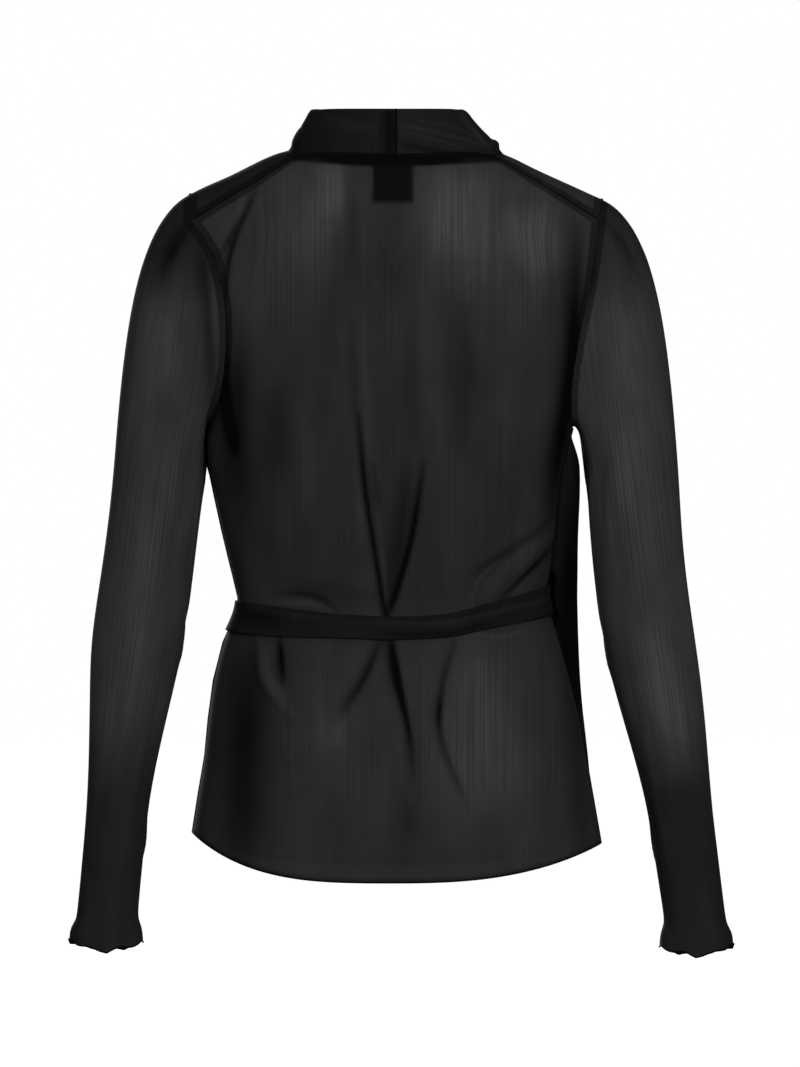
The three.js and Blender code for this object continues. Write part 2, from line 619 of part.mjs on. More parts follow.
// Sleeve of one side: a cap from the armhole to the upper arm, then rings down to the wavy cuff
function addSleeve(side, table) {
  const sideways = side === "left" ? 1 : -1;
  const top = sleeveTop(side);
  const count = top.outer.length;
  const turns = top.outer.map((_, k) => (2 * Math.PI * k) / count);
  const outer = capSteps.map((t) =>
    turns.map((turn, k) => {
      const outside = (1 + Math.cos(turn)) / 2;
      const start = top.outer[k].clone();
      const end = armPoint(table, side, turn, armTopZ);
      const reach = lerp(cap.innerReach, cap.outerReach, outside);
      const drop = lerp(cap.innerLift, -cap.fall, outside);
      const lead = top.away[k].clone().multiplyScalar(reach / 2);
      lead.add(vector(sideways * reach * lerp(cap.innerLead, cap.outerLead, outside), 0, drop));
      const rise = vector(-sideways * cap.lean * outside, 0, lerp(cap.innerRise, cap.outerRise, outside));
      const leaving = start.clone().add(lead);
      const arriving = end.clone().add(rise);
      return new THREE.CubicBezierCurve3(start, leaving, arriving, end).getPoint(t);
    }),
  );
  const cuffZ = table[0].z;
  const flareZ = cuffZ + cuff.top;
  const heights = [
    ...steps(armTopZ, flareZ, sleeveRows).slice(1),
    ...steps(flareZ, cuffZ, cuffRows).slice(1),
  ];
  for (const z of heights) {
    const share = smoothstep(flareZ - z, 4, cuff.top);
    outer.push(
      turns.map((turn, k) => {
        const wave = (2 * Math.PI * cuff.waves * k) / count + cuff.start;
        const point = armPoint(table, side, turn, z);
        const uneven = lerp(1, Math.cos(cuffUneven.times * turn + cuffUneven.start), 1 - cuffUneven.least);
        const swing = cuff.swing * share * Math.cos(wave) * uneven;
        point.x += sideways * swing * Math.cos(turn);
        point.y += swing * Math.sin(turn);
        point.z += share * (cuff.height * uneven * Math.sin(wave) - cuff.dip * Math.sin(turn) ** 2);
        return point;
      }),
    );
  }
  const inner = innerGrid(outer, -sideways, clothWall, true);
  inner[0] = top.inner;
  addPiece(`sleeve_${side}`, wallGeometry(outer, inner, -sideways, true), sheerMesh);
}
addSleeve("left", armLeft);
addSleeve("right", armRight);

// Point of a front layer at a place seen from straight ahead, with the layer's lift and folds
function chestPoint(mirror, layerLift, x, z) {
  const step = 0.5;
  const depthAt = (placeX, placeZ) => {
    const half = read(torso, "z", Math.min(placeZ, 10), sideOf(placeX));
    return frontDepth(placeX, placeZ, clamp(placeX / half, -1, 1));
  };
  const slopeX = (depthAt(x + step, z) - depthAt(x - step, z)) / (2 * step);
  const slopeZ = (depthAt(x, z + step) - depthAt(x, z - step)) / (2 * step);
  const normal = vector(slopeX, -1, slopeZ).normalize();
  const half = read(torso, "z", Math.min(z, 10), sideOf(x));
  const share = clamp((mirror * x) / half, -1, 1);
  const height = layerLift * layerShare(share, z) + foldHeight(frontFolds, x, z);
  return vector(x, depthAt(x, z), z).addScaledVector(normal, height);
}

// Neck band: its places round the back of the neck, the least step between places after that, how
// it leans in to the middle, and over what depth it turns from standing to lying
const band = {
  neckPlaces: [seamGap / 2, 22, 42, 60, 74],
  leastStep: 9,
  endMargin: 6,
  rows: 4,
  slant: Math.atan2(85, 180),
  middleY: -5,
  lowestSeam: 3,
  sideHeight: 0.86,
  sideFrom: -10,
  sideTo: 30,
  lyingY: 10,
  lyingFrom: -6,
  lyingTo: 52,
  narrowFrom: 120,
};

// Neck band of one side: upright round the neck, then lying on the chest along the front edge
function addBand(side, lean) {
  const { mirror, lift, outer: panel } = fronts[side];
  const ridgeRow = lowerRows.length - 1 + frontTopRows;
  const seamLine = [];
  const cornerX = neckShare * shoulderX[side];
  const neckPlaces = [...band.neckPlaces, cornerX];
  for (const x of neckPlaces) {
    seamLine.push(vector(mirror * x, read(neckline, "x", x, "y"), read(neckline, "x", x, "z")));
  }
  const edgeColumn = panel.map((row) => row[frontColumns]);
  for (let row = edgeColumn.length - 2; row > 0 && edgeColumn[row].z > bandEndZ + band.endMargin; row -= 1) {
    const stepAway = seamLine[seamLine.length - 1].distanceTo(edgeColumn[row]);
    if (row === ridgeRow || stepAway >= band.leastStep) seamLine.push(edgeColumn[row].clone());
  }
  seamLine.push(chestPoint(mirror, lift, mirror * read(frontEdge, "z", bandEndZ, "x"), bandEndZ));

  const standing = collarTopZ - band.lowestSeam;
  const rows = seamLine.map((seam, k) => {
    const share = Math.min(Math.abs(seam.x) / cornerX, 1);
    const onNeck = k < neckPlaces.length ? share ** 2 : 1;
    const leaning = lerp(lean.back, lean.side, onNeck);
    const inward = vector(-seam.x, band.middleY - seam.y, 0).normalize();
    if (seam.y < 0) inward.set(-mirror, 0, 0);
    const stand = seam.clone().addScaledVector(inward, leaning);
    const height = lerp(1, band.sideHeight, smoothstep(-seam.y, band.sideFrom, band.sideTo));
    stand.z = Math.max(seam.z, band.lowestSeam) + standing * height;
    if (seam.z < band.lowestSeam) stand.z = seam.z + standing * band.sideHeight;
    const lying = seam.y < band.lyingY ? smoothstep(-seam.z, band.lyingFrom, band.lyingTo) : 0;
    const width = lerp(bandWidth, bandEndWidth, smoothstep(-seam.z, band.narrowFrom, -bandEndZ));
    const laidX = seam.x - mirror * width * Math.cos(band.slant);
    const laidZ = seam.z + width * Math.sin(band.slant);
    const laid = lying > 0 ? chestPoint(mirror, lift, laidX, laidZ) : stand;
    const free = stand.lerp(laid, lying);
    return steps(0, 1, band.rows).map((w) => {
      const point = seam.clone().lerp(free, w);
      if (lying > 0) point.y = lerp(point.y, chestPoint(mirror, lift, point.x, point.z).y, lying);
      const roll = seam.clone().sub(free).normalize();
      if (w === 0) point.addScaledVector(roll, -seamGap);
      return point;
    });
  });
  const inner = innerGrid(rows, mirror, bandWall, false);
  for (const grid of [rows, inner]) {
    for (const point of grid[0]) point.x = (mirror * seamGap) / 2;
  }
  addPiece(`collar_${side}`, wallGeometry(rows, inner, mirror, false), doubledMesh);
}
addBand("left", { back: 4, side: 20 });
addBand("right", { back: 4, side: 33 });

// Solid of a piece, for cutting
const wasm = await Module();
wasm.setup();

function solidOf(geometry) {
  const bare = geometry.clone();
  bare.deleteAttribute("normal");
  bare.deleteAttribute("uv");
  const merged = mergeVertices(bare, 1e-4);
  return new wasm.Manifold(
    new wasm.Mesh({
      numProp: 3,
      vertProperties: new Float32Array(merged.attributes.position.array),
      triVerts: new Uint32Array(merged.index.array),
    }),
  );
}

function geometryOf(solid) {
  const mesh = solid.getMesh();
  const geometry = new THREE.BufferGeometry();
  geometry.setAttribute("position", new THREE.Float32BufferAttribute(mesh.vertProperties, 3));
  geometry.setIndex(new THREE.Uint32BufferAttribute(mesh.triVerts, 1));
  geometry.computeVertexNormals();
  return geometry;
}

// Point on the body at a turn and height, moved out, with the folds of the panel beneath
function onBody(turnDegrees, z, lift) {
  const turn = degToRad(turnDegrees);
  const normal = normalOf(ringPoint, turn, z);
  const point = ringPoint(turn, z);
  const folds = Math.sin(turn) > 0 ? backFolds : frontFolds;
  const fade = smoothstep(Math.abs(Math.sin(turn)), 0.1, 0.5);
  return point.addScaledVector(normal, lift + foldHeight(folds, point.x, point.z) * fade);
}

// Knot: a rounded lump standing on the body
function knotGeometry(grow) {
  const geometry = new THREE.SphereGeometry(1, 20, 12);
  geometry.scale(knot.along + grow, knot.out + grow, knot.up + grow);
  const centre = onBody(knot.turn, knot.z, knot.lift);
  const foot = onBody(knot.turn, knot.z, 0);
  const outwards = centre.clone().sub(foot);
  geometry.rotateZ(Math.atan2(outwards.y, outwards.x) - Math.PI / 2);
  geometry.translate(centre.x, centre.y, centre.z);
  return geometry;
}
addPiece("knot", geometryOf(solidOf(knotGeometry(0))), doubledMesh);
const knotClearance = solidOf(knotGeometry(seamGap + 0.1));

// A strap on the body from its outer rows, cut clear of the knot
function addStrap(name, rows, outward) {
  const inner = innerGrid(rows, outward, tieWall, false);
  const strap = solidOf(wallGeometry(rows, inner, outward, false));
  addPiece(name, geometryOf(strap.subtract(knotClearance)), doubledMesh);
}

// Long tie: round the back, in through the slit and on to the corner of the inner front
const tieTurns = [...steps(-28, 190, 40), ...steps(193, 214.4, 6)];
const tieRows = tieTurns.map((turn) => {
  const middleZ = read(tieCourse, "turn", turn, "middleZ");
  const width = read(tieCourse, "turn", turn, "width");
  const lift = read(tieCourse, "turn", turn, "lift");
  const lean = read(tieCourse, "turn", turn, "lean");
  return [-0.5, -0.17, 0.17, 0.5].map((w) => onBody(turn - lean * w, middleZ + width * w, lift));
});
addStrap("tie_under", tieRows, -1);

// Short stretch from the outer front's corner to the knot
const tieOverCourse = [
  { step: 0, topTurn: -33, topZ: -353, lowTurn: -46.2, lowZ: -363.4, lift: 4.2 },
  { step: 0.5, topTurn: -29, topZ: -365, lowTurn: -38, lowZ: -378, lift: 4.6 },
  { step: 1, topTurn: -29, topZ: -377, lowTurn: -33, lowZ: -384, lift: 6 },
];
const tieOverRows = steps(0, 1, 6).map((step) => {
  const course = (column) => read(tieOverCourse, "step", step, column);
  return steps(0, 1, 3).map((w) =>
    onBody(
      lerp(course("lowTurn"), course("topTurn"), w),
      lerp(course("lowZ"), course("topZ"), w),
      course("lift"),
    ),
  );
});
addStrap("tie_over", tieOverRows, -1);

// Free ends of the ties, hanging below the knot on the inner front
function addTail(name, tail, lift) {
  const rows = steps(0, 1, 12).map((t) => {
    const z = lerp(tail.topZ, tail.endZ, t);
    const turn = lerp(tail.topTurn, tail.endTurn, smoothstep(t, 0, 0.6));
    const width = lerp(tailShape.topWidth, tail.width, smoothstep(t, 0, 0.25));
    const halfTurn = (width / 2 / read(torso, "z", z, "left")) * (180 / Math.PI);
    const swing = tailShape.sway * Math.sin(t * tailShape.swayRate);
    const off = lift + lerp(tailShape.topLift, 0, smoothstep(t, 0, 0.2));
    return steps(-1, 1, 3).map((w) => onBody(turn + swing + w * halfTurn * tailShape.chord, z, off));
  });
  addStrap(name, rows, 1);
}
addTail("tail_under", tailUnder, tailUnderLift);
addTail("tail_over", tailOver, tailOverLift);

// Blank label hanging inside the back from the neck seam
const labelTurn = (x) => Math.acos(x / shoulderX[sideOf(x)]);
const labelSurface = raised(backSurface, 1, () => -(clothWall + labelGap));
const labelRow = (z) => 2 + (z - underarmZ) / (neckline[0].z - underarmZ);
const labelGrids = panelGrids(
  labelSurface,
  steps(labelTurn(label.left), labelTurn(label.right), 4),
  steps(labelRow(label.bottom), labelRow(label.top), 6),
  1,
  labelWall,
);
addPiece("label", wallGeometry(labelGrids.outer, labelGrids.inner, 1, false), wovenLabel);

export default part;
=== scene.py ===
import math

import bmesh
import bpy
import numpy as np
from mathutils import Matrix, Vector
from mathutils.bvhtree import BVHTree
from mathutils.kdtree import KDTree


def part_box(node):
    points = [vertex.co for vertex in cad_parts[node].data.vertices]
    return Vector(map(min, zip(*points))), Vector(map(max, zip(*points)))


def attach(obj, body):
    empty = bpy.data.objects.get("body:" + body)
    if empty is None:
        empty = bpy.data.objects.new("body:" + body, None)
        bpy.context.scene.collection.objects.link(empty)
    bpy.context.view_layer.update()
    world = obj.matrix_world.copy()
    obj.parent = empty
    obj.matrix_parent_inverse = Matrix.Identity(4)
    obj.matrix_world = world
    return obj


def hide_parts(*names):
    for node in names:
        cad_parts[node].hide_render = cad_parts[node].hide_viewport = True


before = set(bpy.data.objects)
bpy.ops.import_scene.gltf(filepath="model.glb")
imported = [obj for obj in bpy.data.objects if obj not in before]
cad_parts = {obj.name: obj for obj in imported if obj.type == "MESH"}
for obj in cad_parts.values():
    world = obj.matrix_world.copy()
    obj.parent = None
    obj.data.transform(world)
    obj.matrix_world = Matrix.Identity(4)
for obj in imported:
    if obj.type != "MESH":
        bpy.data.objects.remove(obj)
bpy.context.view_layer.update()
mm = 0.001

print("frame loaded")


def hexToLinear(code):
    channels = [int(code[k : k + 2], 16) / 255 for k in (1, 3, 5)]
    return (*[c / 12.92 if c <= 0.04045 else ((c + 0.055) / 1.055) ** 2.4 for c in channels], 1)


def addNode(tree, kind, settings=None, inputs=None):
    node = tree.nodes.new(kind)
    for name, value in (settings or {}).items():
        setattr(node, name, value)
    for name, value in (inputs or {}).items():
        if isinstance(value, bpy.types.NodeSocket):
            tree.links.new(value, node.inputs[name])
        else:
            node.inputs[name].default_value = value
    return node


# Every knit's soft noise: its usual range, its detail and how high its wales stand, in mm
knit = {"low": 0.3, "high": 0.7, "detail": 2, "roughness": 0.5, "bump": 0.3, "waleHeight": 0.2}


# Power mesh: fine warp-knitted nylon. Black yarn with open holes, so it lets some light through and shows
# long faint wale streaks. Its base colour goes from black to grey by an amount from 0 to 1 on each piece:
# greyer where it is stretched, and with painted light that shows through from behind and painted shade in
# the creases, darker where it is slack or doubled by a seam. It closes up to black where seen at a slant.
def knittedMesh(name, look):
    material = bpy.data.materials.new(name)
    material.use_nodes = True
    tree = material.node_tree
    shader = tree.nodes["Principled BSDF"]
    if look.get("laidFlat"):
        place = addNode(tree, "ShaderNodeAttribute", {"attribute_name": "laidFlat"}).outputs["Vector"]
    else:
        place = addNode(tree, "ShaderNodeTexCoord").outputs["Object"]

    # A pattern of soft cells of a width and a length in mm
    def softCells(width, length):
        scale = (1 / (width * mm), 1 / (width * mm), 1 / (length * mm))
        sized = addNode(tree, "ShaderNodeMapping", inputs={"Vector": place, "Scale": scale})
        fine = {"Scale": 1, "Detail": knit["detail"], "Roughness": knit["roughness"]}
        cells = addNode(tree, "ShaderNodeTexNoise", inputs={"Vector": sized.outputs["Vector"], **fine})
        return cells.outputs["Fac"]

    streaks = softCells(look["wale"], look["waleLength"])
    patches = softCells(*look["patch"])
    # Amount of stretch and painted light: it lifts the base colour towards grey where light from behind is
    # painted showing through, and lowers it for painted shade in the creases
    stretch = addNode(tree, "ShaderNodeAttribute", {"attribute_name": "stretch"}).outputs["Fac"]
    slant = addNode(tree, "ShaderNodeLayerWeight", inputs={"Blend": look["slantBlend"]})
    usual = {"From Min": knit["low"], "From Max": knit["high"]}
    yarn = {"To Min": look["cover"] - look["coverSwing"], "To Max": look["cover"] + look["coverSwing"]}
    yarnCover = addNode(tree, "ShaderNodeMapRange", inputs={"Value": streaks, **usual, **yarn})
    closed = {"Value": slant.outputs["Facing"], "To Min": 0, "To Max": look["slantCover"]}
    slantCover = addNode(tree, "ShaderNodeMapRange", inputs=closed)
    alpha = addNode(
        tree,
        "ShaderNodeMath",
        {"operation": "ADD", "use_clamp": True},
        {0: yarnCover.outputs["Result"], 1: slantCover.outputs["Result"]},
    )
    streaky = {"To Min": -look["streakTone"], "To Max": look["streakTone"]}
    streakTone = addNode(tree, "ShaderNodeMapRange", inputs={"Value": streaks, **usual, **streaky})
    streaksByStretchAndLight = addNode(
        tree,
        "ShaderNodeMath",
        {"operation": "MULTIPLY"},
        {0: streakTone.outputs["Result"], 1: stretch},
    )
    wales = addNode(tree, "ShaderNodeMath", {"operation": "ADD"}, {0: streaksByStretchAndLight.outputs[0], 1: 1})
    patchy = {"To Min": 1 - look["patchTone"], "To Max": 1 + look["patchTone"]}
    patchTone = addNode(tree, "ShaderNodeMapRange", inputs={"Value": patches, **usual, **patchy})
    grain = addNode(
        tree,
        "ShaderNodeMath",
        {"operation": "MULTIPLY"},
        {0: wales.outputs[0], 1: patchTone.outputs["Result"]},
    )
    # Painted light: the base colour runs from the yarn's black to the painted grey of light showing through
    light = addNode(
        tree,
        "ShaderNodeMath",
        {"operation": "MULTIPLY", "use_clamp": True},
        {0: stretch, 1: grain.outputs[0]},
    )
    tone = addNode(
        tree,
        "ShaderNodeMix",
        {"data_type": "RGBA"},
        {"Factor": light.outputs[0], 6: hexToLinear(look["dark"]), 7: hexToLinear(look["light"])},
    )
    relief = {"Height": streaks, "Strength": knit["bump"], "Distance": knit["waleHeight"] * mm}
    bump = addNode(tree, "ShaderNodeBump", inputs=relief)
    tree.links.new(tone.outputs[2], shader.inputs["Base Color"])
    tree.links.new(alpha.outputs[0], shader.inputs["Alpha"])
    tree.links.new(bump.outputs["Normal"], shader.inputs["Normal"])
    shader.inputs["Roughness"].default_value = look["roughness"]
    shader.inputs["Specular IOR Level"].default_value = look["specular"]
    return material


# Light passes two walls of each layer, so only a little of what lies behind is seen. Wales and
# patches are in mm, and the wale streaks are about twice as coarse as the real knit, to show at this
# distance.
# Each mesh's light colour is painted light: the grey it shows where light from behind comes through
sheerMesh = knittedMesh(
    "Knitted_Nylon_Mesh_Single",
    {
        "wale": 1.1,
        "waleLength": 190,
        "patch": (34, 80),
        "patchTone": 0.16,
        "laidFlat": True,
        "cover": 0.94,
        "coverSwing": 0.02,
        "slantBlend": 0.35,
        "slantCover": 0.3,
        "dark": "#060607",
        "light": "#535355",
        "streakTone": 0.42,
        "roughness": 0.85,
        "specular": 0.05,
    },
)
doubledMesh = knittedMesh(
    "Knitted_Nylon_Mesh_Doubled",
    {
        "wale": 1.4,
        "waleLength": 40,
        "patch": (20, 30),
        "patchTone": 0.12,
        "cover": 0.95,
        "coverSwing": 0.02,
        "slantBlend": 0.35,
        "slantCover": 0.1,
        "dark": "#050506",
        "light": "#3c3c3e",
        "streakTone": 0.6,
        "roughness": 0.85,
        "specular": 0.05,
    },
)
seamMesh = knittedMesh(
    "Overlocked_Nylon_Mesh_Allowance",
    {
        "wale": 1.6,
        "waleLength": 3,
        "patch": (20, 20),
        "patchTone": 0.1,
        "cover": 0.9,
        "coverSwing": 0.06,
        "slantBlend": 0.35,
        "slantCover": 0.1,
        "dark": "#060607",
        "light": "#1c1c1e",
        "streakTone": 0.6,
        "roughness": 0.9,
        "specular": 0.05,
    },
)


# An opaque material of one colour
def plainSurface(name, colour, roughness, specular):
    material = bpy.data.materials.new(name)
    material.use_nodes = True
    shader = material.node_tree.nodes["Principled BSDF"]
    shader.inputs["Base Color"].default_value = hexToLinear(colour)
    shader.inputs["Roughness"].default_value = roughness
    shader.inputs["Specular IOR Level"].default_value = specular
    return material


# Spun polyester sewing thread, matt, and a damask-woven satin label with a soft shine
sewingThread = plainSurface("Spun_Polyester_Thread", "#070708", 0.85, 0.08)
satinLabel = plainSurface("Woven_Satin_Label", "#0b0b0c", 0.55, 0.15)

print("materials made")


# Angles in degrees, and the distance in mm at which loose corners are merged
skinRules = {"cornerTurn": 38, "turnLimit": 50, "merge": 0.02, "facetAngle": 60, "facetShape": 75}


# The outer skin of a node's wall: its widest outward face and all that joins it without a sharp edge.
# Corners where the cut edge turns by more than cornerTurn stay sharp when it is rounded, and sewn
# edges, where sewn(point in mm) is true, stay on their seam.
def skinOf(node, middle, sewn=None, turnLimit=skinRules["turnLimit"]):
    bm = bmesh.new()
    bm.from_mesh(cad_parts[node].data)
    bmesh.ops.remove_doubles(bm, verts=bm.verts, dist=skinRules["merge"] * mm)
    bm.normal_update()

    def outwardArea(face):
        centre = face.calc_center_median()
        away = centre - middle(centre)
        away.z = 0
        return face.calc_area() * face.normal.dot(away.normalized())

    seed = max(bm.faces, key=outwardArea)
    found, edgeOfSkin = {seed}, [seed]
    while edgeOfSkin:
        face = edgeOfSkin.pop()
        for other in [near for edge in face.edges for near in edge.link_faces if near not in found]:
            if face.normal.angle(other.normal, math.pi) < math.radians(turnLimit):
                found.add(other)
                edgeOfSkin.append(other)
    bmesh.ops.delete(bm, geom=[f for f in bm.faces if f not in found], context="FACES")
    bmesh.ops.join_triangles(
        bm,
        faces=bm.faces,
        angle_face_threshold=math.radians(skinRules["facetAngle"]),
        angle_shape_threshold=math.radians(skinRules["facetShape"]),
    )
    corner = bm.verts.layers.float.new("crease_vert")
    for vertex in bm.verts:
        rim = [edge.other_vert(vertex).co - vertex.co for edge in vertex.link_edges if edge.is_boundary]
        if len(rim) == 2 and rim[0].angle(rim[1]) < math.radians(180 - skinRules["cornerTurn"]):
            vertex[corner] = 1
        if sewn and rim and sewn(vertex.co / mm):
            vertex[corner] = 1
    return bm


def meshOf(bm, name):
    mesh = bpy.data.meshes.new(name)
    bm.to_mesh(mesh)
    bm.free()
    return mesh


def link(name, mesh, material):
    piece = bpy.data.objects.new(name, mesh)
    bpy.context.scene.collection.objects.link(piece)
    mesh.materials.clear()
    mesh.materials.append(material)
    mesh.polygons.foreach_set("use_smooth", [True] * len(mesh.polygons))
    return piece


# The piece with its modifiers made part of its mesh
def settle(piece):
    made = bpy.data.meshes.new_from_object(piece.evaluated_get(bpy.context.evaluated_depsgraph_get()))
    piece.modifiers.clear()
    piece.data = made
    return piece


def smoother(piece, levels):
    rounding = piece.modifiers.new("round", "SUBSURF")
    rounding.levels = levels
    rounding.render_levels = levels
    rounding.boundary_smooth = "PRESERVE_CORNERS"
    return settle(piece)


def thicken(piece, wall):
    shell = piece.modifiers.new("wall", "SOLIDIFY")
    shell.thickness = wall * mm
    shell.offset = -1
    shell.use_even_offset = False
    shell.use_rim = True
    return settle(piece)


def coordinates(mesh):
    flat = np.empty(len(mesh.vertices) * 3)
    mesh.vertices.foreach_get("co", flat)
    return flat.reshape(-1, 3)


def normals(mesh):
    flat = np.empty(len(mesh.vertices) * 3)
    mesh.vertices.foreach_get("normal", flat)
    return flat.reshape(-1, 3)


# A crease or a tone: a line of points, its rise, its half-width in mm, and in its
# section how square it is ("edge") or how much steeper on the right of its way it is ("skew")
def stroke(line, rise, spread, **section):
    return {"line": line, "rise": rise, "spread": spread, **section}


# How a stroke is drawn where it doesn't say so: short steps between its points, its section, and how
# its ends run out
strokeRules = {"steps": 6, "skew": 0.25, "edge": 2, "endShare": 0.05, "endPower": 0.6}


# A given line with soft bends
def softened(points):
    ends = np.vstack([2 * points[0] - points[1], points, 2 * points[-1] - points[-2]])
    soft = []
    for before, start, end, after in zip(ends[:-3], ends[1:-2], ends[2:-1], ends[3:]):
        for t in np.arange(strokeRules["steps"]) / strokeRules["steps"]:
            leaving, arriving = (end - before) / 2, (after - start) / 2
            soft.append(
                start * (2 * t**3 - 3 * t**2 + 1)
                + end * (3 * t**2 - 2 * t**3)
                + leaving * (t**3 - 2 * t**2 + t)
                + arriving * (t**3 - t**2)
            )
    return np.array([*soft, points[-1]])


# Height of strokes at places on a panel laid flat, in the unit of their rises
def strokeHeight(strokes, places):
    total = np.zeros(len(places))
    for mark in strokes:
        line = softened(np.array(mark["line"], dtype=float))
        lengths = np.linalg.norm(np.diff(line, axis=0), axis=1)
        whole = lengths.sum()
        nearest = np.full(len(places), np.inf)
        share = np.zeros(len(places))
        sideOfLine = np.zeros(len(places))
        gone = 0
        for start, end, length in zip(line[:-1], line[1:], lengths):
            along = (end - start) / length
            offset = places - start
            reach = np.clip(offset @ along, 0, length)
            gap = offset - reach[:, None] * along
            distance = np.linalg.norm(gap, axis=1)
            closer = distance < nearest
            nearest = np.where(closer, distance, nearest)
            share = np.where(closer, (gone + reach) / whole, share)
            turned = along[0] * offset[:, 1] - along[1] * offset[:, 0]
            sideOfLine = np.where(closer, np.sign(turned), sideOfLine)
            gone += length
        onward = strokeRules["endShare"] + share * (1 - 2 * strokeRules["endShare"])
        taper = np.sin(onward * math.pi) ** strokeRules["endPower"]
        spread = mark["spread"] * (1 + mark.get("skew", strokeRules["skew"]) * sideOfLine)
        section = (nearest / spread) ** mark.get("edge", strokeRules["edge"])
        total += mark["rise"] * taper * np.exp(-section)
    return total


# Moves a mesh along its normals by creases that are placed on it laid flat. With a hold, in mm, the
# creases fade out towards the piece's edges.
def press(piece, creases, layFlat, hold=None):
    mesh = piece.data
    points = coordinates(mesh)
    heights = strokeHeight(creases, layFlat(points / mm)) * mm
    if hold:
        nearEdge = distanceToEdge(piece, lambda p: True)
        heights *= np.clip(np.array([nearEdge(place) for place in points / mm]) / hold, 0, 1)
    moved = points + normals(mesh) * heights[:, None]
    mesh.vertices.foreach_set("co", moved.ravel())
    mesh.update()


def seenFromBehind(points):
    return points[:, [0, 2]]


# Where a body panel turns forward, in mm: the depth at which it starts to, how far from the middle
# it has fully turned, the height below which it turns, and over what height that comes in
sides = {"depth": 62, "reach": 110, "top": -40, "ease": 90}


# Places on a body panel laid flat: across the back, then forward round each side below the shoulders
def roundTheBody(points):
    across = np.abs(points[:, 0])
    forward = np.clip(sides["depth"] - np.abs(points[:, 1]), 0, None)
    below = np.clip((sides["top"] - points[:, 2]) / sides["ease"], 0, 1)
    share = np.clip(across / sides["reach"], 0, 1) ** 2 * below
    return np.column_stack([np.sign(points[:, 0]) * (across + forward * share), points[:, 2]])


# Keeps where each place lies on the flat cut piece, in metres, for the knit's long wales
def keepFlat(piece, layFlat):
    points = coordinates(piece.data)
    flat = layFlat(points / mm) * mm
    laid = np.column_stack([flat[:, 0], np.zeros(len(flat)), flat[:, 1]])
    layer = piece.data.attributes.new("laidFlat", "FLOAT_VECTOR", "POINT")
    layer.data.foreach_set("vector", laid.ravel())


# Darker bands beside sewn edges, where the mesh lies doubled and less painted light shows through, how fast
# the tones of painted light and shade fade round to the front, and the soft edge of the painted shade where
# the label shows through, in mm
toneRules = {
    "seamWidth": 7.2,
    "seamEase": 1.2,
    "seamDepth": 0.62,
    "facingGain": 3,
    "facingStart": 0.3,
    "shadeEdge": 0.5,
}


# Writes each place's stretch and painted light, which lightens its base colour: by height, then along lines
# seen from behind, painted light and painted shade, then less behind the label, a painted shade where it
# blocks the light from behind, and beside the sewn edges, where the mesh lies doubled
def paintStretchAndLight(piece, look, sewn=None):
    mesh = piece.data
    points = coordinates(mesh) / mm
    heights, values = zip(*sorted(look["byHeight"]))
    amount = np.interp(points[:, 2], heights, values)
    facing = np.clip(normals(mesh)[:, 1] * toneRules["facingGain"] + toneRules["facingStart"], 0, 1)
    amount += strokeHeight(look.get("tones", []), seenFromBehind(points)) * facing
    # Painted shade behind the label, where it blocks the light from behind
    for left, right, top, bottom, share in look.get("darkBehind", []):
        soft = toneRules["shadeEdge"]
        inX = np.clip(left - points[:, 0] + soft, 0, 1) * np.clip(points[:, 0] - right + soft, 0, 1)
        inZ = np.clip(top - points[:, 2] + soft, 0, 1) * np.clip(points[:, 2] - bottom + soft, 0, 1)
        amount *= 1 - share * inX * inZ
    if sewn:
        near = np.array([sewn(place) for place in points])
        band = np.clip((toneRules["seamWidth"] - near) / toneRules["seamEase"], 0, 1)
        amount *= 1 - toneRules["seamDepth"] * band
    layer = mesh.attributes.new("stretch", "FLOAT", "POINT")
    layer.data.foreach_set("value", np.clip(amount, 0, 1))


def treeOf(places):
    tree = KDTree(len(places))
    for index, place in enumerate(places):
        tree.insert(place, index)
    tree.balance()
    return tree


# Distance in mm from a point to the nearest boundary point of a skin where keep(point) is true
def distanceToEdge(piece, keep):
    bm = bmesh.new()
    bm.from_mesh(piece.data)
    tree = treeOf([v.co / mm for v in bm.verts if v.is_boundary and keep(v.co / mm)])
    bm.free()
    return lambda point: tree.find(point)[2]


# Tells whether a point in mm is within reach, in mm, of the points of a piece
def nearPiece(piece, reach):
    tree = treeOf(coordinates(piece.data))
    return lambda point: tree.find(point * mm)[2] < reach * mm


print("tools ready")
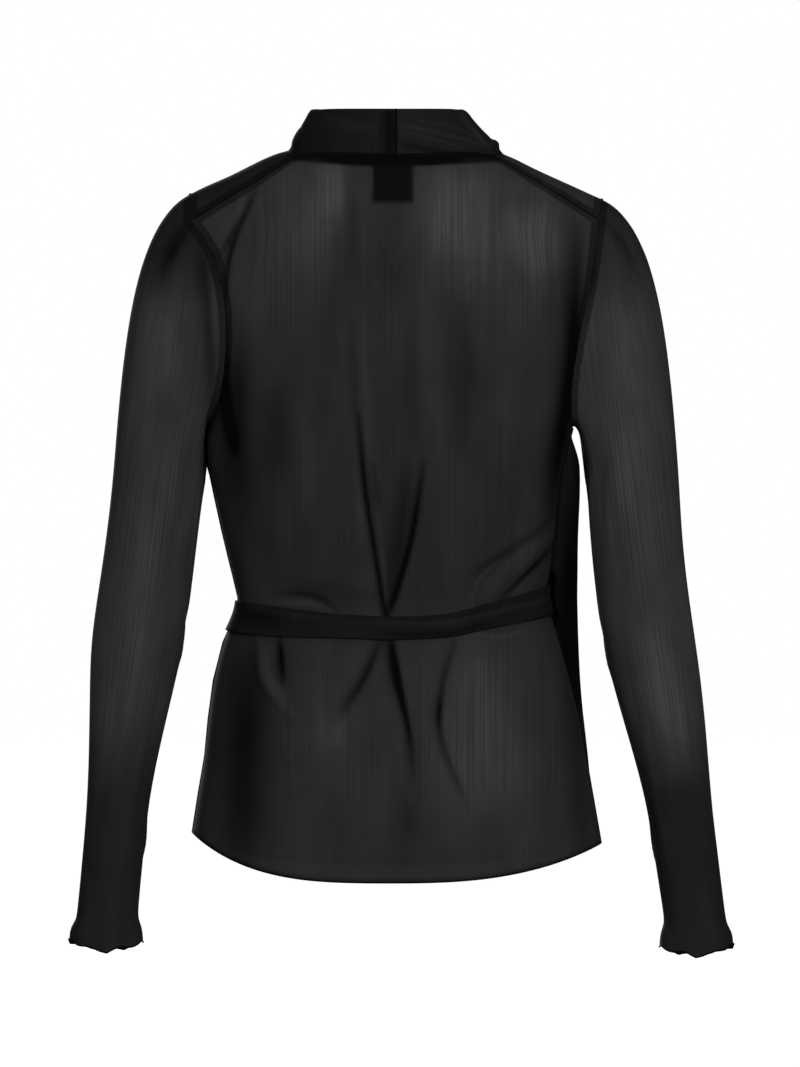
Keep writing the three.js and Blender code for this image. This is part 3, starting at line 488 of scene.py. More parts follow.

# Back panel. Creases and tones are placed as seen from behind: X towards the wearer's left, Z up, in
# mm. A tone's rise adds to the stretch and painted light, from 0 to 1: the tones are painted light where
# light shows through from behind, and painted shade along the creases, the seams and the sides.
backPanel = {
    "levels": 3,
    "wall": 0.5,
    "sewnLow": -566,
    "back": [
        stroke([(38, -112), (33, -204), (28, -257), (20, -323), (12, -382)], -1.9, 5),
        stroke([(-24, -256), (-19, -290), (-14, -320), (-6, -351), (3, -382)], -2.2, 5),
        stroke([(19, -255), (13, -293)], 1.1, 4),
        stroke([(104, -368), (82, -368), (64, -372), (48, -384)], -1.3, 3.4),
        stroke([(96, -377), (76, -377), (58, -381)], 1.0, 3),
        stroke([(-66, -378), (-74, -356), (-92, -342), (-124, -316)], 1.8, 6),
        stroke([(-89, -373), (-104, -357), (-120, -342), (-136, -323)], -2.0, 4.5),
        stroke([(-65, -399), (-88, -404), (-114, -405)], 1.2, 3.5),
        stroke([(11, -408), (2, -431), (-6, -459), (-12, -482), (-15, -521)], -2.4, 5),
        stroke([(12, -408), (19, -425), (33, -453), (50, -476)], -1.9, 5),
        stroke([(101, -408), (98, -431), (97, -446)], -1.7, 4),
        stroke([(118, -408), (115, -450), (88, -478)], 1.3, 6),
        stroke([(-53, -405), (-43, -431), (-37, -456), (-33, -476), (-40, -507), (-57, -544)], -1.9, 5),
        stroke([(120, -22), (136, -60), (143, -85), (145, -119)], -1.6, 4.5),
        stroke([(137, -36), (145, -76)], -1.3, 4),
        stroke([(-128, -60), (-146, -100), (-150, -136)], -1.2, 6),
        stroke([(-30, -392), (-24, -372), (-16, -350)], 1.3, 5),
        stroke([(60, -408), (66, -432), (74, -452)], 1.2, 6),
        stroke([(-92, -408), (-84, -436), (-80, -462)], -1.2, 6),
        stroke([(-128, -402), (-118, -432), (-112, -470)], 1.1, 7),
        stroke([(158, -228), (157, -246), (155, -266)], 2.2, 10),
        stroke([(-158, -228), (-157, -246), (-155, -266)], 1.6, 10),
    ],
    # Painted light and shade on the back: the light that shows through by height, the label's shade and the
    # tones
    "tone": {
        "back": {
            "byHeight": [
                (5, 0.36),
                (-60, 0.4),
                (-120, 0.37),
                (-200, 0.34),
                (-370, 0.3),
                (-420, 0.34),
                (-520, 0.42),
                (-590, 0.36),
                (-620, 0.3),
            ],
            # Painted shade where the label blocks the light from behind
            "darkBehind": [(20, -14.5, 10, -37, 0.9)],  # the label: left, right, top, bottom, share
            "tones": [
                stroke([(78, 2), (74, -108)], 0.26, 20),
                stroke([(54, -2), (52, -52)], 0.38, 14, edge=3),
                stroke([(36, -28), (34, -100)], -0.12, 6),
                stroke([(-60, -8), (-62, -88)], 0.46, 23, edge=2.4),
                stroke([(-112, -36), (-120, -104)], 0.44, 26),
                stroke([(-100, -70), (-104, -104)], -0.12, 9),
                stroke([(-38, 0), (-40, -100)], 0.1, 12),
                stroke([(-2, -46), (0, -130)], -0.12, 24),
                stroke([(100, 6), (50, 1), (0, -0.5), (-50, 1), (-96, 4)], -0.62, 4.6, edge=8),
                stroke([(0, 6), (0, -30), (0, -66)], -0.1, 18),
                stroke([(56, -100), (54, -180)], -0.1, 10),
                stroke([(38, -120), (34, -204), (28, -290)], -0.12, 4),
                stroke([(28, -130), (24, -210), (18, -280)], 0.1, 6),
                stroke([(-14, -130), (-14, -250)], -0.08, 7),
                stroke([(-36, -140), (-36, -290)], 0.07, 9),
                stroke([(-56, -106), (-60, -180), (-54, -250)], -0.14, 11),
                stroke([(-92, -150), (-92, -250)], 0.06, 14),
                stroke([(130, -150), (135, -230), (130, -290)], -0.26, 16),
                stroke([(102, -190), (98, -270)], -0.16, 15),
                stroke([(76, -190), (72, -300)], 0.07, 10),
                stroke([(118, -250), (112, -350)], -0.08, 18),
                stroke([(90, -360), (50, -366), (16, -372)], -0.07, 9),
                stroke([(-24, -256), (-19, -290), (-14, -320), (-6, -351), (1, -373), (8, -390)], -0.36, 3.2),
                stroke([(-10, -262), (-5, -312), (2, -350), (7, -388)], -0.2, 8),
                stroke([(31, -215), (27, -266), (23, -299), (17, -336), (11, -374), (8, -392)], -0.34, 2.6),
                stroke([(36, -226), (33, -270), (26, -330)], 0.12, 4),
                stroke([(19, -256), (16, -276), (13, -293)], -0.15, 1.6),
                stroke([(15, -300), (11, -340), (8, -376)], 0.12, 2.4),
                stroke([(4, -405), (-4, -450), (-12, -490), (-15, -524)], -0.42, 3.6),
                stroke([(5, -408), (1, -438), (-4, -458)], -0.22, 6),
                stroke([(-38, -456), (-35, -482)], -0.14, 4),
                stroke([(119, -408), (117, -437), (105, -459), (86, -477)], -0.15, 3),
                stroke([(110, -412), (108, -436), (98, -452)], 0.1, 5),
                stroke([(-50, -410), (-40, -444), (-37, -480), (-44, -508), (-60, -546)], -0.34, 3.4),
                stroke([(-72, -420), (-78, -490), (-84, -560)], 0.26, 32),
                stroke([(98, -406), (95, -444)], -0.34, 3),
                stroke([(112, -410), (108, -440), (84, -476)], 0.14, 7),
                stroke([(13, -406), (21, -428), (30, -446), (49, -474)], -0.3, 4),
                stroke([(28, -418), (40, -440)], 0.08, 7),
                stroke([(58, -470), (50, -500)], 0.12, 20),
                stroke([(-64, -380), (-66, -366), (-74, -351), (-92, -339)], 0.17, 1.2),
                stroke([(-64, -351), (-89, -336), (-114, -320), (-134, -303)], -0.18, 5),
                stroke([(-72, -370), (-95, -345), (-120, -322)], 0.2, 7),
                stroke([(-89, -373), (-104, -357), (-120, -342), (-136, -323)], -0.3, 2.6),
                stroke([(-64, -400), (-84, -405), (-108, -401)], 0.16, 1.2),
                stroke([(-153, -56), (-150, -172), (-136, -264), (-131, -300)], -0.4, 9),
                stroke([(118, -24), (140, -79), (145, -126)], -0.34, 3),
                stroke([(134, -50), (147, -80)], -0.26, 2.5),
                stroke([(130, -34), (142, -66)], 0.16, 3),
                stroke([(146, -130), (144, -200), (136, -246)], -0.3, 5),
                stroke([(122, -412), (134, -600)], -0.36, 26, skew=0),
                stroke([(-150, -430), (-158, -590)], -0.2, 12),
                stroke([(-118, -584), (-90, -596)], 0.12, 14),
                stroke([(-12, -540), (-8, -580)], -0.12, 12),
                stroke([(104, -369), (82, -368), (64, -372), (48, -384)], -0.18, 2.4),
                stroke([(94, -376), (76, -376), (60, -380)], 0.16, 2.4),
            ],
        },
    },
}
# Fronts, placed by the same X and Z: creases run from the knot at the wearer's left front. They are
# sewn to the neck bands above the waist, and to the back at the sides.
frontPanels = {
    "levels": 3,
    "wall": 0.5,
    "bandLow": -366,
    "sideIn": 60,
    "sewnLow": {"front_over": -575, "front_under": -566},
    # Painted light and shade on the fronts: the light that shows through by height, and a painted shade down
    # the side of the front over
    "tone": {
        "front_over": {
            "byHeight": [(10, 0.34), (-50, 0.34), (-120, 0.42), (-240, 0.46), (-370, 0.36), (-620, 0.32)],
            "tones": [stroke([(-158, -200), (-154, -400), (-160, -600)], -0.45, 20)],
        },
        "front_under": {
            "byHeight": [(10, 0.12), (-50, 0.15), (-100, 0.4), (-240, 0.46), (-370, 0.36), (-620, 0.32)],
        },
    },
    "front_over": [
        stroke([(96, -366), (40, -326), (-36, -268)], -2.2, 5),
        stroke([(92, -374), (30, -350), (-58, -322)], 1.9, 5),
        stroke([(90, -380), (30, -372), (-60, -366)], -1.7, 4),
        stroke([(98, -358), (70, -318), (40, -262)], 1.4, 5),
        stroke([(82, -398), (40, -440), (6, -500)], -2.0, 6),
        stroke([(90, -404), (66, -460), (54, -540)], 1.6, 6),
        stroke([(-40, -392), (-70, -420), (-92, -470)], 1.4, 7),
        stroke([(-96, -250), (-120, -300), (-132, -348)], -1.4, 7),
        stroke([(-118, -150), (-132, -190), (-136, -224)], -1.6, 6),
        stroke([(-158, -228), (-157, -246), (-155, -266)], 1.6, 10),
    ],
    "front_under": [
        stroke([(128, -372), (138, -330), (136, -280)], -1.6, 5),
        stroke([(118, -368), (112, -320), (96, -262)], 1.6, 6),
        stroke([(128, -398), (134, -450), (130, -520)], -1.4, 6),
        stroke([(122, -150), (136, -190), (142, -224)], -1.6, 6),
        stroke([(60, -370), (10, -352), (-50, -340)], -1.2, 6),
        stroke([(158, -228), (157, -246), (155, -266)], 2.2, 10),
    ],
}
skins, walls = {}, {}


def bodyMiddle(point):
    return Vector((0, 0, point.z))


def atBackSeams(point):
    return point.z > backPanel["sewnLow"]


def atFrontSeams(name, sign):
    def sewnAt(point):
        atSide = point.z > frontPanels["sewnLow"][name] and sign * point.x > frontPanels["sideIn"]
        return point.z > frontPanels["bandLow"] or atSide

    return sewnAt


def bodyPanel(name, look, sewnAt):
    piece = link(name, meshOf(skinOf(name, bodyMiddle, sewnAt), name), sheerMesh)
    smoother(piece, look["levels"])
    press(piece, look[name], seenFromBehind)
    paintStretchAndLight(piece, look["tone"][name], distanceToEdge(piece, sewnAt))
    keepFlat(piece, roundTheBody)
    skins[name], walls[name] = piece, look["wall"]
    return piece


back = bodyPanel("back", backPanel, atBackSeams)
frontOver = bodyPanel("front_over", frontPanels, atFrontSeams("front_over", -1))
frontUnder = bodyPanel("front_under", frontPanels, atFrontSeams("front_under", 1))
print("body panels shaped")

# Sleeves. Creases are placed by the turn round the arm in degrees, from the outside through the back,
# and by Z in mm. The right sleeve's are the same, a little lower, further round and shallower.
sleeves = {
    "levels": 3,
    "wall": 0.5,
    "halfWidth": 42,
    "armholeZ": -300,
    "drift": {"left": 0, "right": 9},
    "depthShare": {"left": 1, "right": 0.85},
    "middle": {"z": [-660, -544, -408, -272, -190, -90, -40], "x": [250, 238, 217, 201, 190, 180, 178]},
    "depth": {"z": [-660, -544, -408, -272], "y": [-41, -31, -13, -2]},
    "creases": [
        stroke([(150, -404), (185, -392), (225, -398)], -1.1, 8),
        stroke([(140, -430), (175, -420), (215, -428)], 0.9, 9),
        stroke([(235, -378), (265, -386), (300, -376)], -2.0, 6),
        stroke([(240, -410), (270, -402), (300, -412)], 1.6, 7),
        stroke([(95, -225), (120, -262), (128, -318)], -1.6, 7),
        stroke([(128, -236), (150, -285), (156, -345)], 1.5, 7),
        stroke([(60, -150), (72, -210), (70, -280)], -1.3, 8),
        stroke([(58, -440), (66, -500), (60, -560)], -1.2, 8),
        stroke([(110, -470), (118, -530), (112, -596)], 1.4, 7),
        stroke([(160, -560), (190, -584), (215, -596)], 1.4, 6),
        stroke([(20, -590), (45, -606), (75, -612)], -1.2, 5),
        stroke([(290, -250), (275, -300), (280, -350)], 1.3, 8),
        stroke([(178, -224), (180, -246), (178, -268)], 2.6, 12),
    ],
    # Painted light and shade on each sleeve: the light that shows through by height, lighter bands down the
    # arm, painted shade where the armhole seam shows through the sleeve head, and on the right sleeve below
    # the elbow
    "left": {
        "byHeight": [
            (-30, 0.14),
            (-80, 0.22),
            (-125, 0.5),
            (-300, 0.56),
            (-470, 0.58),
            (-540, 0.28),
            (-600, 0.22),
            (-690, 0.26),
        ],
        "tones": [
            stroke([(174, -52), (190, -80), (204, -110)], -0.18, 8),
            stroke([(164, -84), (158, -150), (154, -222)], -0.3, 6),
            stroke([(196, -126), (192, -200)], 0.16, 12),
            stroke([(206, -300), (222, -440)], 0.16, 12),
        ],
    },
    "right": {
        "byHeight": [
            (-30, 0.18),
            (-80, 0.3),
            (-130, 0.54),
            (-300, 0.62),
            (-470, 0.6),
            (-560, 0.24),
            (-600, 0.2),
            (-690, 0.26),
        ],
        "tones": [
            stroke([(-160, -52), (-166, -90), (-160, -124)], -0.26, 5),
            stroke([(-176, -50), (-192, -70), (-206, -100)], -0.12, 4),
            stroke([(-194, -140), (-200, -300)], 0.16, 12),
            stroke([(-222, -400), (-238, -500)], 0.26, 14, edge=3),
            stroke([(-214, -544), (-250, -534), (-270, -528)], -0.09, 16, edge=4),
        ],
    },
}


def armMiddle(side):
    sign = 1 if side == "left" else -1

    def middle(point):
        z = point.z / mm
        x = np.interp(z, sleeves["middle"]["z"], sleeves["middle"]["x"])
        y = np.interp(z, sleeves["depth"]["z"], sleeves["depth"]["y"])
        return Vector((sign * x, y, z)) * mm

    return middle


def roundTheArm(side):
    sign = 1 if side == "left" else -1

    def layFlat(points):
        x = np.interp(points[:, 2], sleeves["middle"]["z"], sleeves["middle"]["x"])
        y = np.interp(points[:, 2], sleeves["depth"]["z"], sleeves["depth"]["y"])
        turn = np.arctan2(points[:, 1] - y, sign * points[:, 0] - x) % (2 * math.pi)
        return np.column_stack([turn * sleeves["halfWidth"], points[:, 2]])

    return layFlat


def atArmhole(point):
    return point.z > sleeves["armholeZ"]


def sleevePiece(side):
    name = f"sleeve_{side}"
    piece = link(name, meshOf(skinOf(name, armMiddle(side), atArmhole), name), sheerMesh)
    smoother(piece, sleeves["levels"])
    drift = sleeves["drift"][side]
    creases = []
    for mark in sleeves["creases"]:
        line = [(math.radians(turn + drift) * sleeves["halfWidth"], z - drift) for turn, z in mark["line"]]
        creases.append(stroke(line, mark["rise"] * sleeves["depthShare"][side], mark["spread"]))
    press(piece, creases, roundTheArm(side))
    paintStretchAndLight(piece, sleeves[side], distanceToEdge(piece, atArmhole))
    keepFlat(piece, roundTheArm(side))
    skins[name], walls[name] = piece, sleeves["wall"]
    return piece


sleeveLeft = sleevePiece("left")
sleeveRight = sleevePiece("right")
print("sleeves shaped")

# Neck bands of doubled mesh. Creases as seen from behind. Level gives, in mm, the height where the
# standing edge starts to settle, the height of its top before, and the height of its top after.
neckBands = {
    "levels": 3,
    "wall": 0.9,
    "level": (36, 47, 43.2),
    "hold": 7,
    "seamReach": 1.6,
    # Painted light and shade on the neck bands: painted highlights along the folds, painted shade below them,
    # and a darker band down the centre back
    "stretch": {
        "collar_left": {
            "byHeight": [(50, 0.16), (-60, 0.16), (-300, 0.22)],
            "tones": [
                stroke([(7, 50), (7, -2)], -0.1, 7, edge=8, skew=0),
                stroke([(66, 38), (40, 30), (14, 27)], 0.1, 5),
            ],
        },
        "collar_right": {
            "byHeight": [(50, 0.24), (-60, 0.22), (-300, 0.22)],
            "tones": [
                stroke([(-2, 30), (-36, 23), (-72, 13)], 0.22, 1.6),
                stroke([(-6, 24), (-34, 17), (-60, 10)], 0.16, 1.2),
                stroke([(-20, 33), (-48, 28), (-66, 20)], 0.14, 1.4),
                stroke([(-55, 40), (-66, 26), (-80, 10)], 0.34, 2),
                stroke([(-4, 14), (-40, 6), (-70, 3)], -0.2, 3),
            ],
        },
    },
    "collar_left": [
        stroke([(70, 8), (40, 22), (6, 34)], -0.7, 3),
        stroke([(60, 30), (36, 38), (10, 41)], 0.7, 3),
        stroke([(77, 26), (86, 10)], 2.4, 9),
    ],
    "collar_right": [
        stroke([(-2, 33), (-36, 22), (-72, 12)], -1.1, 3),
        stroke([(-4, 22), (-34, 13), (-62, 8)], 0.8, 3),
        stroke([(-56, 38), (-66, 24), (-80, 8)], 1.3, 3),
        stroke([(-82, 18), (-88, 10)], 4.0, 8),
    ],
}


# Settles the standing edge of a neck band to one even height behind the neck
def levelTop(piece):
    points = coordinates(piece.data)
    low, high, top = (height * mm for height in neckBands["level"])
    share = np.clip((points[:, 2] - low) / (high - low), 0, 1)
    level = low + (top - low) * (1 - (1 - share) ** 2)
    points[:, 2] = np.where(points[:, 2] > low, level, points[:, 2])
    piece.data.vertices.foreach_set("co", points.ravel())
    piece.data.update()


nearBody = [nearPiece(panel, neckBands["seamReach"]) for panel in (back, frontOver, frontUnder)]


def neckBand(name):
    sewnAt = lambda p: any(near(p) for near in nearBody)
    piece = link(name, meshOf(skinOf(name, bodyMiddle, sewnAt), name), doubledMesh)
    smoother(piece, neckBands["levels"])
    levelTop(piece)
    press(piece, neckBands[name], seenFromBehind, neckBands["hold"])
    paintStretchAndLight(piece, neckBands["stretch"][name])
    skins[name], walls[name] = piece, neckBands["wall"]
    return piece


collarLeft = neckBand("collar_left")
collarRight = neckBand("collar_right")

# Ties. Lengthwise creases follow the strap, as seen from behind or in front.
ties = {
    "levels": 2,
    "wall": 0.9,
    "turnLimit": 62,
    # Painted light and shade on the ties and knot: painted highlights along the strap, and painted shade
    # beside the knot and below the strap
    "stretch": {
        "byHeight": [(-300, 0.2), (-390, 0.18), (-410, 0.24), (-600, 0.3)],
        "tones": [
            stroke([(126, -379), (86, -386), (40, -391)], 0.1, 2),
            stroke([(40, -391), (0, -393), (-44, -392), (-90, -382), (-130, -372)], 0.16, 2.2),
            stroke([(134, -386), (112, -388), (96, -389)], -0.12, 9),
            stroke([(20, -402), (-40, -402), (-84, -392)], -0.14, 3),
        ],
    },
    "tie_under": [
        stroke(
            [(132, -379), (90, -385), (40, -390), (0, -392), (-44, -391), (-90, -381), (-132, -371)],
            -1.4,
            1.8,
        ),
        stroke([(128, -392), (86, -397), (44, -399)], 1.0, 1.8),
        stroke([(-40, -398), (-80, -388), (-120, -378)], 0.9, 1.8),
    ],
    "tie_over": [stroke([(92, -364), (112, -382)], -0.8, 2)],
    "tail_under": [
        stroke([(128, -396), (140, -450), (150, -560)], -1.2, 3),
        stroke([(132, -396), (152, -460), (158, -540)], 1.0, 3),
    ],
    "tail_over": [
        stroke([(118, -396), (132, -450), (136, -548)], -1.2, 3),
        stroke([(122, -396), (142, -470), (146, -530)], 0.9, 3),
    ],
}


def tiePiece(name):
    piece = link(name, meshOf(skinOf(name, bodyMiddle, turnLimit=ties["turnLimit"]), name), doubledMesh)
    smoother(piece, ties["levels"])
    press(piece, ties[name], seenFromBehind)
    paintStretchAndLight(piece, ties["stretch"])
    skins[name], walls[name] = piece, ties["wall"]


for name in ("tie_under", "tie_over", "tail_under", "tail_over"):
    tiePiece(name)
print("bands and ties shaped")

# Knot: one band of the tie wrapped across a soft lump, with folds along both. Radii are in mm and the
# turn in degrees. The band and the depth of the folds are in shares of the radius, and the folds' pace
# is in radians to a radius.
knotLook = {
    "radii": (12.5, 7.6, 14.5),
    "turn": 59,
    "around": 72,
    "along": 40,
    "base": 0.93,
    "bandRise": 0.1,
    "bandHalf": 0.36,
    "bandEdge": 0.03,
    "bandLean": 0.35,
    "bandFolds": 11,
    "sideFolds": 9,
    "sideLean": 0.4,
    "foldDepth": 0.025,
}


def knotPiece():
    low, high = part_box("knot")
    centre = (Vector(low) + Vector(high)) / 2
    bm = bmesh.new()
    bmesh.ops.create_uvsphere(bm, u_segments=knotLook["around"], v_segments=knotLook["along"], radius=1)
    for vertex in bm.verts:
        x, y, z = vertex.co
        across = x + knotLook["bandLean"] * z
        band = 1 / (1 + math.exp(-(knotLook["bandHalf"] - abs(across)) / knotLook["bandEdge"]))
        bandFolds = math.sin(knotLook["bandFolds"] * across)
        sideFolds = math.sin(knotLook["sideFolds"] * (z - knotLook["sideLean"] * x))
        folds = bandFolds * band + sideFolds * (1 - band)
        vertex.co *= knotLook["base"] + knotLook["bandRise"] * band + knotLook["foldDepth"] * folds
    bmesh.ops.scale(bm, verts=bm.verts, vec=Vector(knotLook["radii"]) * mm)
    turn = Matrix.Rotation(math.radians(knotLook["turn"]), 3, "Z")
    bmesh.ops.rotate(bm, verts=bm.verts, matrix=turn)
    bmesh.ops.translate(bm, verts=bm.verts, vec=centre)
    piece = link("knot", meshOf(bm, "knot"), doubledMesh)
    # The knot takes the ties' painted light and shade
    paintStretchAndLight(piece, ties["stretch"])
    return piece


knotMade = knotPiece()

# Blank label: a folded satin tab sewn in at the neck seam
labelLook = {"levels": 2, "wall": 0.6}
labelPiece = link("label", meshOf(skinOf("label", bodyMiddle), "label"), satinLabel)
smoother(labelPiece, labelLook["levels"])
print("knot and label shaped")

# Seams. A strip of seam allowance starts at a sewn edge of a skin and lies inside that panel.
allowances = {"width": 6.5, "centreWidth": 9, "lap": 1.8, "depth": 0.9, "wall": 0.4}
seams = {}


def sewnEdge(piece, keep):
    bm = bmesh.new()
    bm.from_mesh(piece.data)
    bm.normal_update()
    chosen = [e for e in bm.edges if e.is_boundary and keep(e.verts[0].co / mm) and keep(e.verts[1].co / mm)]
    return bm, chosen


# Strip of allowance along the boundary edges of a skin where keep(point in mm) is true
def allowanceStrip(name, piece, keep, width=allowances["width"]):
    bm, chosen = sewnEdge(piece, keep)
    inward = {}
    for edge in chosen:
        face = edge.link_faces[0]
        middle = (edge.verts[0].co + edge.verts[1].co) / 2
        along = (edge.verts[1].co - edge.verts[0].co).normalized()
        towards = face.calc_center_median() - middle
        towards = (towards - along * towards.dot(along)).normalized()
        for vertex in edge.verts:
            inward.setdefault(vertex, Vector()).__iadd__(towards)
    normalAt = {v: v.normal.copy() for v in inward}
    inwardAt = {v: d.normalized() for v, d in inward.items()}
    strip = bmesh.new()
    copies = {}
    for v in inward:
        below, outside = normalAt[v] * allowances["depth"], inwardAt[v] * allowances["lap"]
        copies[v] = strip.verts.new(v.co - below * mm - outside * mm)
    outer = [strip.edges.new((copies[e.verts[0]], copies[e.verts[1]])) for e in chosen]
    backTo = {copies[v]: v for v in inward}
    grown = bmesh.ops.extrude_edge_only(strip, edges=outer)
    fresh = [g for g in grown["geom"] if isinstance(g, bmesh.types.BMVert)]
    firsts = list(backTo)
    tree = treeOf([vertex.co for vertex in firsts])
    shape = BVHTree.FromBMesh(bm)
    for vertex in fresh:
        source = backTo[firsts[tree.find(vertex.co)[1]]]
        target = source.co + inwardAt[source] * width * mm
        place, normal, _, _ = shape.find_nearest(target)
        vertex.co = place - normal * allowances["depth"] * mm
    bmesh.ops.recalc_face_normals(strip, faces=strip.faces)
    bm.free()
    seams[name] = link(name, meshOf(strip, name), seamMesh)
    thicken(seams[name], allowances["wall"])


# A round thread along a line of points
def tubeAlong(name, points, radius, roundness, closed):
    curve = bpy.data.curves.new(name, "CURVE")
    curve.dimensions = "3D"
    curve.bevel_depth = radius * mm
    curve.bevel_resolution = roundness
    curve.use_fill_caps = not closed
    spline = curve.splines.new("POLY")
    spline.points.add(len(points) - 1)
    for point, place in zip(spline.points, points):
        point.co = (*place, 1)
    spline.use_cyclic_u = closed
    holder = bpy.data.objects.new(name + "_line", curve)
    bpy.context.scene.collection.objects.link(holder)
    mesh = bpy.data.meshes.new_from_object(holder.evaluated_get(bpy.context.evaluated_depsgraph_get()))
    bpy.data.objects.remove(holder)
    return link(name, mesh, sewingThread)


# Boundary edges of a skin as ordered lines of points
def boundaryLines(piece, keep):
    bm, chosen = sewnEdge(piece, keep)
    links = {}
    for edge in chosen:
        for a, b in (edge.verts, reversed(edge.verts)):
            links.setdefault(a.index, []).append(b.index)
    bm.verts.ensure_lookup_table()
    places = {k: bm.verts[k].co.copy() for k in links}
    bm.free()
    lines, used = [], set()
    starts = [k for k, near in links.items() if len(near) == 1] + list(links)
    for start in starts:
        if start in used:
            continue
        line, at = [start], start
        used.add(start)
        while True:
            onward = [k for k in links[at] if k not in used]
            if not onward:
                break
            at = onward[0]
            used.add(at)
            line.append(at)
        closed = len(line) > 2 and line[0] in links[line[-1]]
        lines.append(([places[k] for k in line], closed))
    return lines


# Threads along every boundary line of a skin where keep(point in mm) is true
def threadsAlong(name, piece, keep, thread, radius=None):
    made = []
    for number, (line, closed) in enumerate(boundaryLines(piece, keep)):
        if len(line) > thread["leastPoints"]:
            size = radius or thread["radius"]
            made.append(tubeAlong(f"{name}_{number}", line, size, thread["roundness"], closed))
    return made


# Where the seams lie on the skins' edges, as seen from behind, in mm
seamAt = {
    "neckHalf": 90,
    "shoulderIn": 82,
    "shoulderOut": 174,
    "shoulderLow": -60,
    "sideTop": -226,
    "centreHalf": 1,
    "near": 2,
}
nearSleeve = {side: nearPiece(skins[f"sleeve_{side}"], seamAt["near"]) for side in ("left", "right")}
nearFront = {"left": nearPiece(frontUnder, seamAt["near"]), "right": nearPiece(frontOver, seamAt["near"])}
nearBack = nearPiece(back, seamAt["near"])


def atNeck(point):
    return abs(point.x) < seamAt["neckHalf"] and point.z > 0


def atCentreBack(point):
    return abs(point.x) < seamAt["centreHalf"] and point.y > 0 and point.z > 0


def atSide(side):
    return lambda point: point.z < seamAt["sideTop"] and nearFront[side](point)


# The thread runs to the end of the shoulder, and the allowance stops just before it
def atShoulder(side, outerEnd=math.inf):
    sign = 1 if side == "left" else -1

    def sewnAt(point):
        within = seamAt["shoulderIn"] < sign * point.x < outerEnd
        return within and point.z > seamAt["shoulderLow"] and not nearSleeve[side](point)

    return sewnAt


for side in ("left", "right"):
    allowanceStrip(f"armhole_allowance_{side}", skins[f"sleeve_{side}"], atArmhole)
    allowanceStrip(f"side_allowance_{side}", back, atSide(side))
    allowanceStrip(f"shoulder_allowance_{side}", back, atShoulder(side, seamAt["shoulderOut"]))
allowanceStrip("neck_allowance", back, atNeck)
allowanceStrip("centre_back_allowance", collarLeft, atCentreBack, width=allowances["centreWidth"])

seamThread = {"radius": 0.7, "neckRadius": 1.2, "roundness": 1, "leastPoints": 4}
ridges = {
    "back": [
        *threadsAlong("neck_seam", back, atNeck, seamThread, seamThread["neckRadius"]),
        *threadsAlong("shoulder_seam_left", back, atShoulder("left"), seamThread),
        *threadsAlong("shoulder_seam_right", back, atShoulder("right"), seamThread),
        *threadsAlong("side_seam_left", back, atSide("left"), seamThread),
        *threadsAlong("side_seam_right", back, atSide("right"), seamThread),
    ],
    "sleeve_left": threadsAlong("armhole_seam_left", sleeveLeft, atArmhole, seamThread),
    "sleeve_right": threadsAlong("armhole_seam_right", sleeveRight, atArmhole, seamThread),
    "collar_right": threadsAlong("centre_back_seam", collarRight, atCentreBack, seamThread),
}
print("seam allowances sewn in")

# Rolled edges: thread wrapped round the hem and cuff edges
rolled = {"radius": 0.75, "roundness": 2, "leastPoints": 12, "cuffHigh": -600, "hemHigh": -560}


def atCuff(point):
    return point.z < rolled["cuffHigh"]


def atBackHem(point):
    return point.z < rolled["hemHigh"] and not any(near(point) for near in nearFront.values())


def atFrontHem(point):
    return point.z < rolled["hemHigh"] and not nearBack(point)


edges = {
    "sleeve_left": threadsAlong("cuff_edge_left", sleeveLeft, atCuff, rolled),
    "sleeve_right": threadsAlong("cuff_edge_right", sleeveRight, atCuff, rolled),
    "back": threadsAlong("hem_edge_back", back, atBackHem, rolled),
    "front_over": threadsAlong("hem_edge_over", frontOver, atFrontHem, rolled),
    "front_under": threadsAlong("hem_edge_under", frontUnder, atFrontHem, rolled),
}
print("edges rolled")

# Walls of all the cloth, inwards from each skin
for name, wall in walls.items():
    thicken(skins[name], wall)
thicken(labelPiece, labelLook["wall"])
print("walls given")

# What each sheet was cut to: width and length in metres, flat area in square metres, its slot, how it
# is held and what it rests on
cuts = {
    "back": ((0.42, 0.66), 0.222, "sheer_mesh", "hung", ["sleeve_left", "sleeve_right"]),
    "front_over": ((0.36, 0.66), 0.155, "sheer_mesh", "draped", ["front_under"]),
    "front_under": ((0.36, 0.66), 0.147, "sheer_mesh", "hung", ["back"]),
    "sleeve_left": ((0.31, 0.64), 0.133, "sheer_mesh", "hung", ["back"]),
    "sleeve_right": ((0.31, 0.64), 0.133, "sheer_mesh", "hung", ["back"]),
    "collar_left": ((0.05, 0.56), 0.022, "doubled_mesh", "draped", ["front_under"]),
    "collar_right": ((0.05, 0.56), 0.023, "doubled_mesh", "draped", ["front_over"]),
    "tie_under": ((0.026, 0.47), 0.0116, "doubled_mesh", "gathered", ["back"]),
    "tie_over": ((0.018, 0.04), 0.0006, "doubled_mesh", "gathered", ["front_over"]),
    "tail_under": ((0.02, 0.185), 0.0034, "doubled_mesh", "hung", ["knot"]),
    "tail_over": ((0.02, 0.172), 0.0032, "doubled_mesh", "hung", ["knot"]),
    "label": ((0.035, 0.033), 0.00115, "woven_label", "hung", ["back"]),
}
sewnInside = {
    "back": [
        "side_allowance_left",
        "side_allowance_right",
        "shoulder_allowance_left",
        "shoulder_allowance_right",
        "neck_allowance",
    ],
    "sleeve_left": ["armhole_allowance_left"],
    "sleeve_right": ["armhole_allowance_right"],
    "collar_left": ["centre_back_allowance"],
}
pieces = {**skins, "label": labelPiece}
for name, (flat, area, slot, held, rests) in cuts.items():
    piece = pieces[name]
    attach(piece, "root")
    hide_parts(name)
    inside = [seams[key] for key in sewnInside.get(name, [])]
    going = inside + edges.get(name, []) + ridges.get(name, [])
    for extra in going:
        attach(extra, "root")
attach(knotMade, "root")
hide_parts("knot")

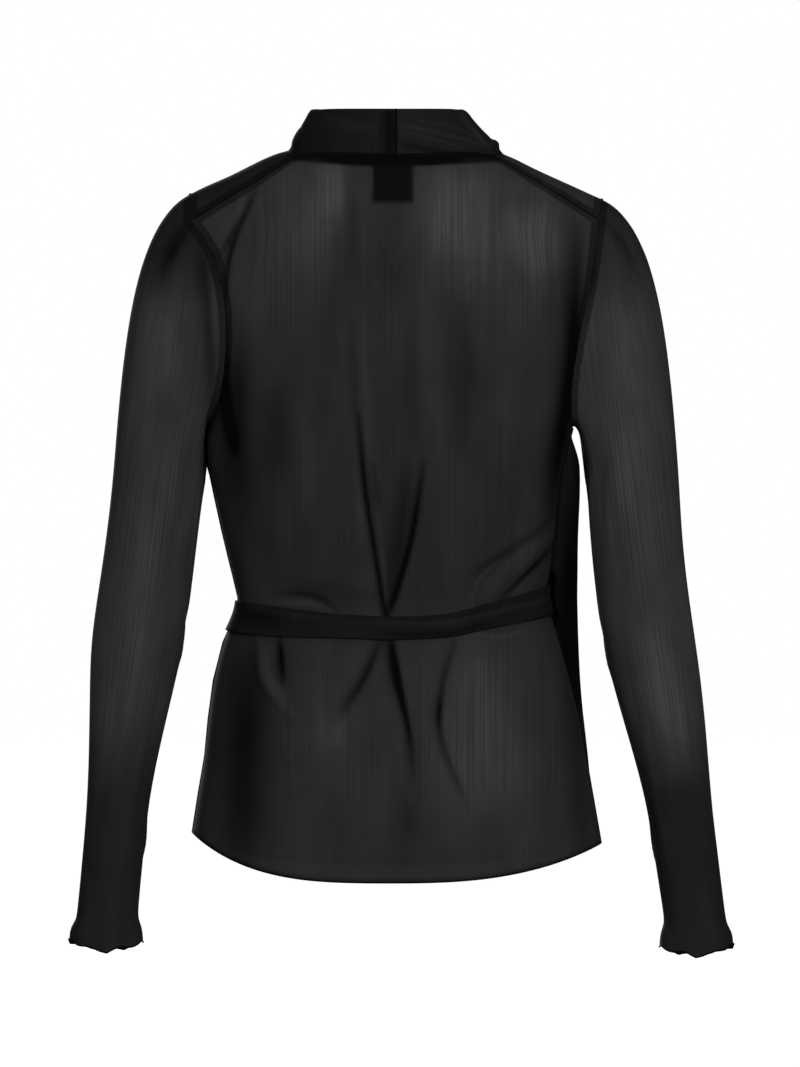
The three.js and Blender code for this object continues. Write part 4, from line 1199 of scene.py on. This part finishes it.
# Pale floor, white surroundings and soft studio lights
stage = {
    "floorZ": -720,
    "floorSize": 30,
    "floorLook": ("#404040", 0.9, 0.1),  # colour, roughness, specular
    "backdrop": 1.0,
    "ambient": 0.12,
    "aimZ": -320,
    "lights": [
        {"name": "key_light", "place": (-1.1, 4.0, 0.9), "size": 1.8, "power": 84},
        {"name": "fill_light", "place": (2.4, 3.0, 0.2), "size": 2.0, "power": 14},
        {"name": "front_light", "place": (0.8, -4.0, 0.9), "size": 2.0, "power": 130},
        {"name": "top_light", "place": (0, 0.3, 2.4), "size": 2.2, "power": 10},
    ],
}
aim = Vector((0, 0, stage["aimZ"] * mm))


# Strength of a pale surface: bright to the eye, and a weaker light on the garment
def paleWhenSeen(tree):
    seen = addNode(tree, "ShaderNodeLightPath").outputs["Is Camera Ray"]
    limits = {"Value": seen, "To Min": stage["ambient"], "To Max": stage["backdrop"]}
    return addNode(tree, "ShaderNodeMapRange", inputs=limits).outputs["Result"]


bm = bmesh.new()
bmesh.ops.create_grid(bm, x_segments=1, y_segments=1, size=stage["floorSize"])
bmesh.ops.translate(bm, verts=bm.verts, vec=(0, 0, stage["floorZ"] * mm))
matt = plainSurface("Matt_Studio_Floor", *stage["floorLook"])
floorShader = matt.node_tree.nodes["Principled BSDF"]
floorShader.inputs["Emission Color"].default_value = hexToLinear("#ffffff")
matt.node_tree.links.new(paleWhenSeen(matt.node_tree), floorShader.inputs["Emission Strength"])
floor = link("floor", meshOf(bm, "floor"), matt)

world = bpy.data.worlds.new("studio")
bpy.context.scene.world = world
world.use_nodes = True
tree = world.node_tree
background = tree.nodes["Background"]
background.inputs["Color"].default_value = hexToLinear("#ffffff")
tree.links.new(paleWhenSeen(tree), background.inputs["Strength"])

for light in stage["lights"]:
    data = bpy.data.lights.new(light["name"], "AREA")
    data.shape = "DISK"
    data.size = light["size"]
    data.energy = light["power"]
    lamp = bpy.data.objects.new(light["name"], data)
    lamp.location = light["place"]
    lamp.rotation_euler = (aim - lamp.location).to_track_quat("-Z", "Y").to_euler()
    bpy.context.scene.collection.objects.link(lamp)

# Camera behind the garment: one pixel of the 800 by 1067 image is 0.85 mm at the middle of the body,
# and the middle of the neck base is at pixel 396, 160. The long lens shows almost no perspective.
camera = {
    "lens": 900,
    "pixel": 0.85,
    "width": 800,
    "height": 1067,
    "neckX": 396,
    "neckY": 160,
    "farEnd": 100,
    "meshWallsInARow": 32,
}
data = bpy.data.cameras.new("camera")
data.lens = camera["lens"]
data.sensor_fit = "AUTO"
distance = camera["height"] * camera["pixel"] * mm * camera["lens"] / data.sensor_width
data.clip_end = camera["farEnd"]
viewer = bpy.data.objects.new("camera", data)
viewer.location = (
    (camera["neckX"] - camera["width"] / 2) * camera["pixel"] * mm,
    distance,
    (camera["neckY"] - camera["height"] / 2) * camera["pixel"] * mm,
)
viewer.rotation_euler = (math.radians(90), 0, math.radians(180))
bpy.context.scene.collection.objects.link(viewer)
bpy.context.scene.camera = viewer
bpy.context.scene.view_settings.view_transform = "Standard"
bpy.context.scene.cycles.transparent_max_bounces = camera["meshWallsInARow"]

print("stage set")
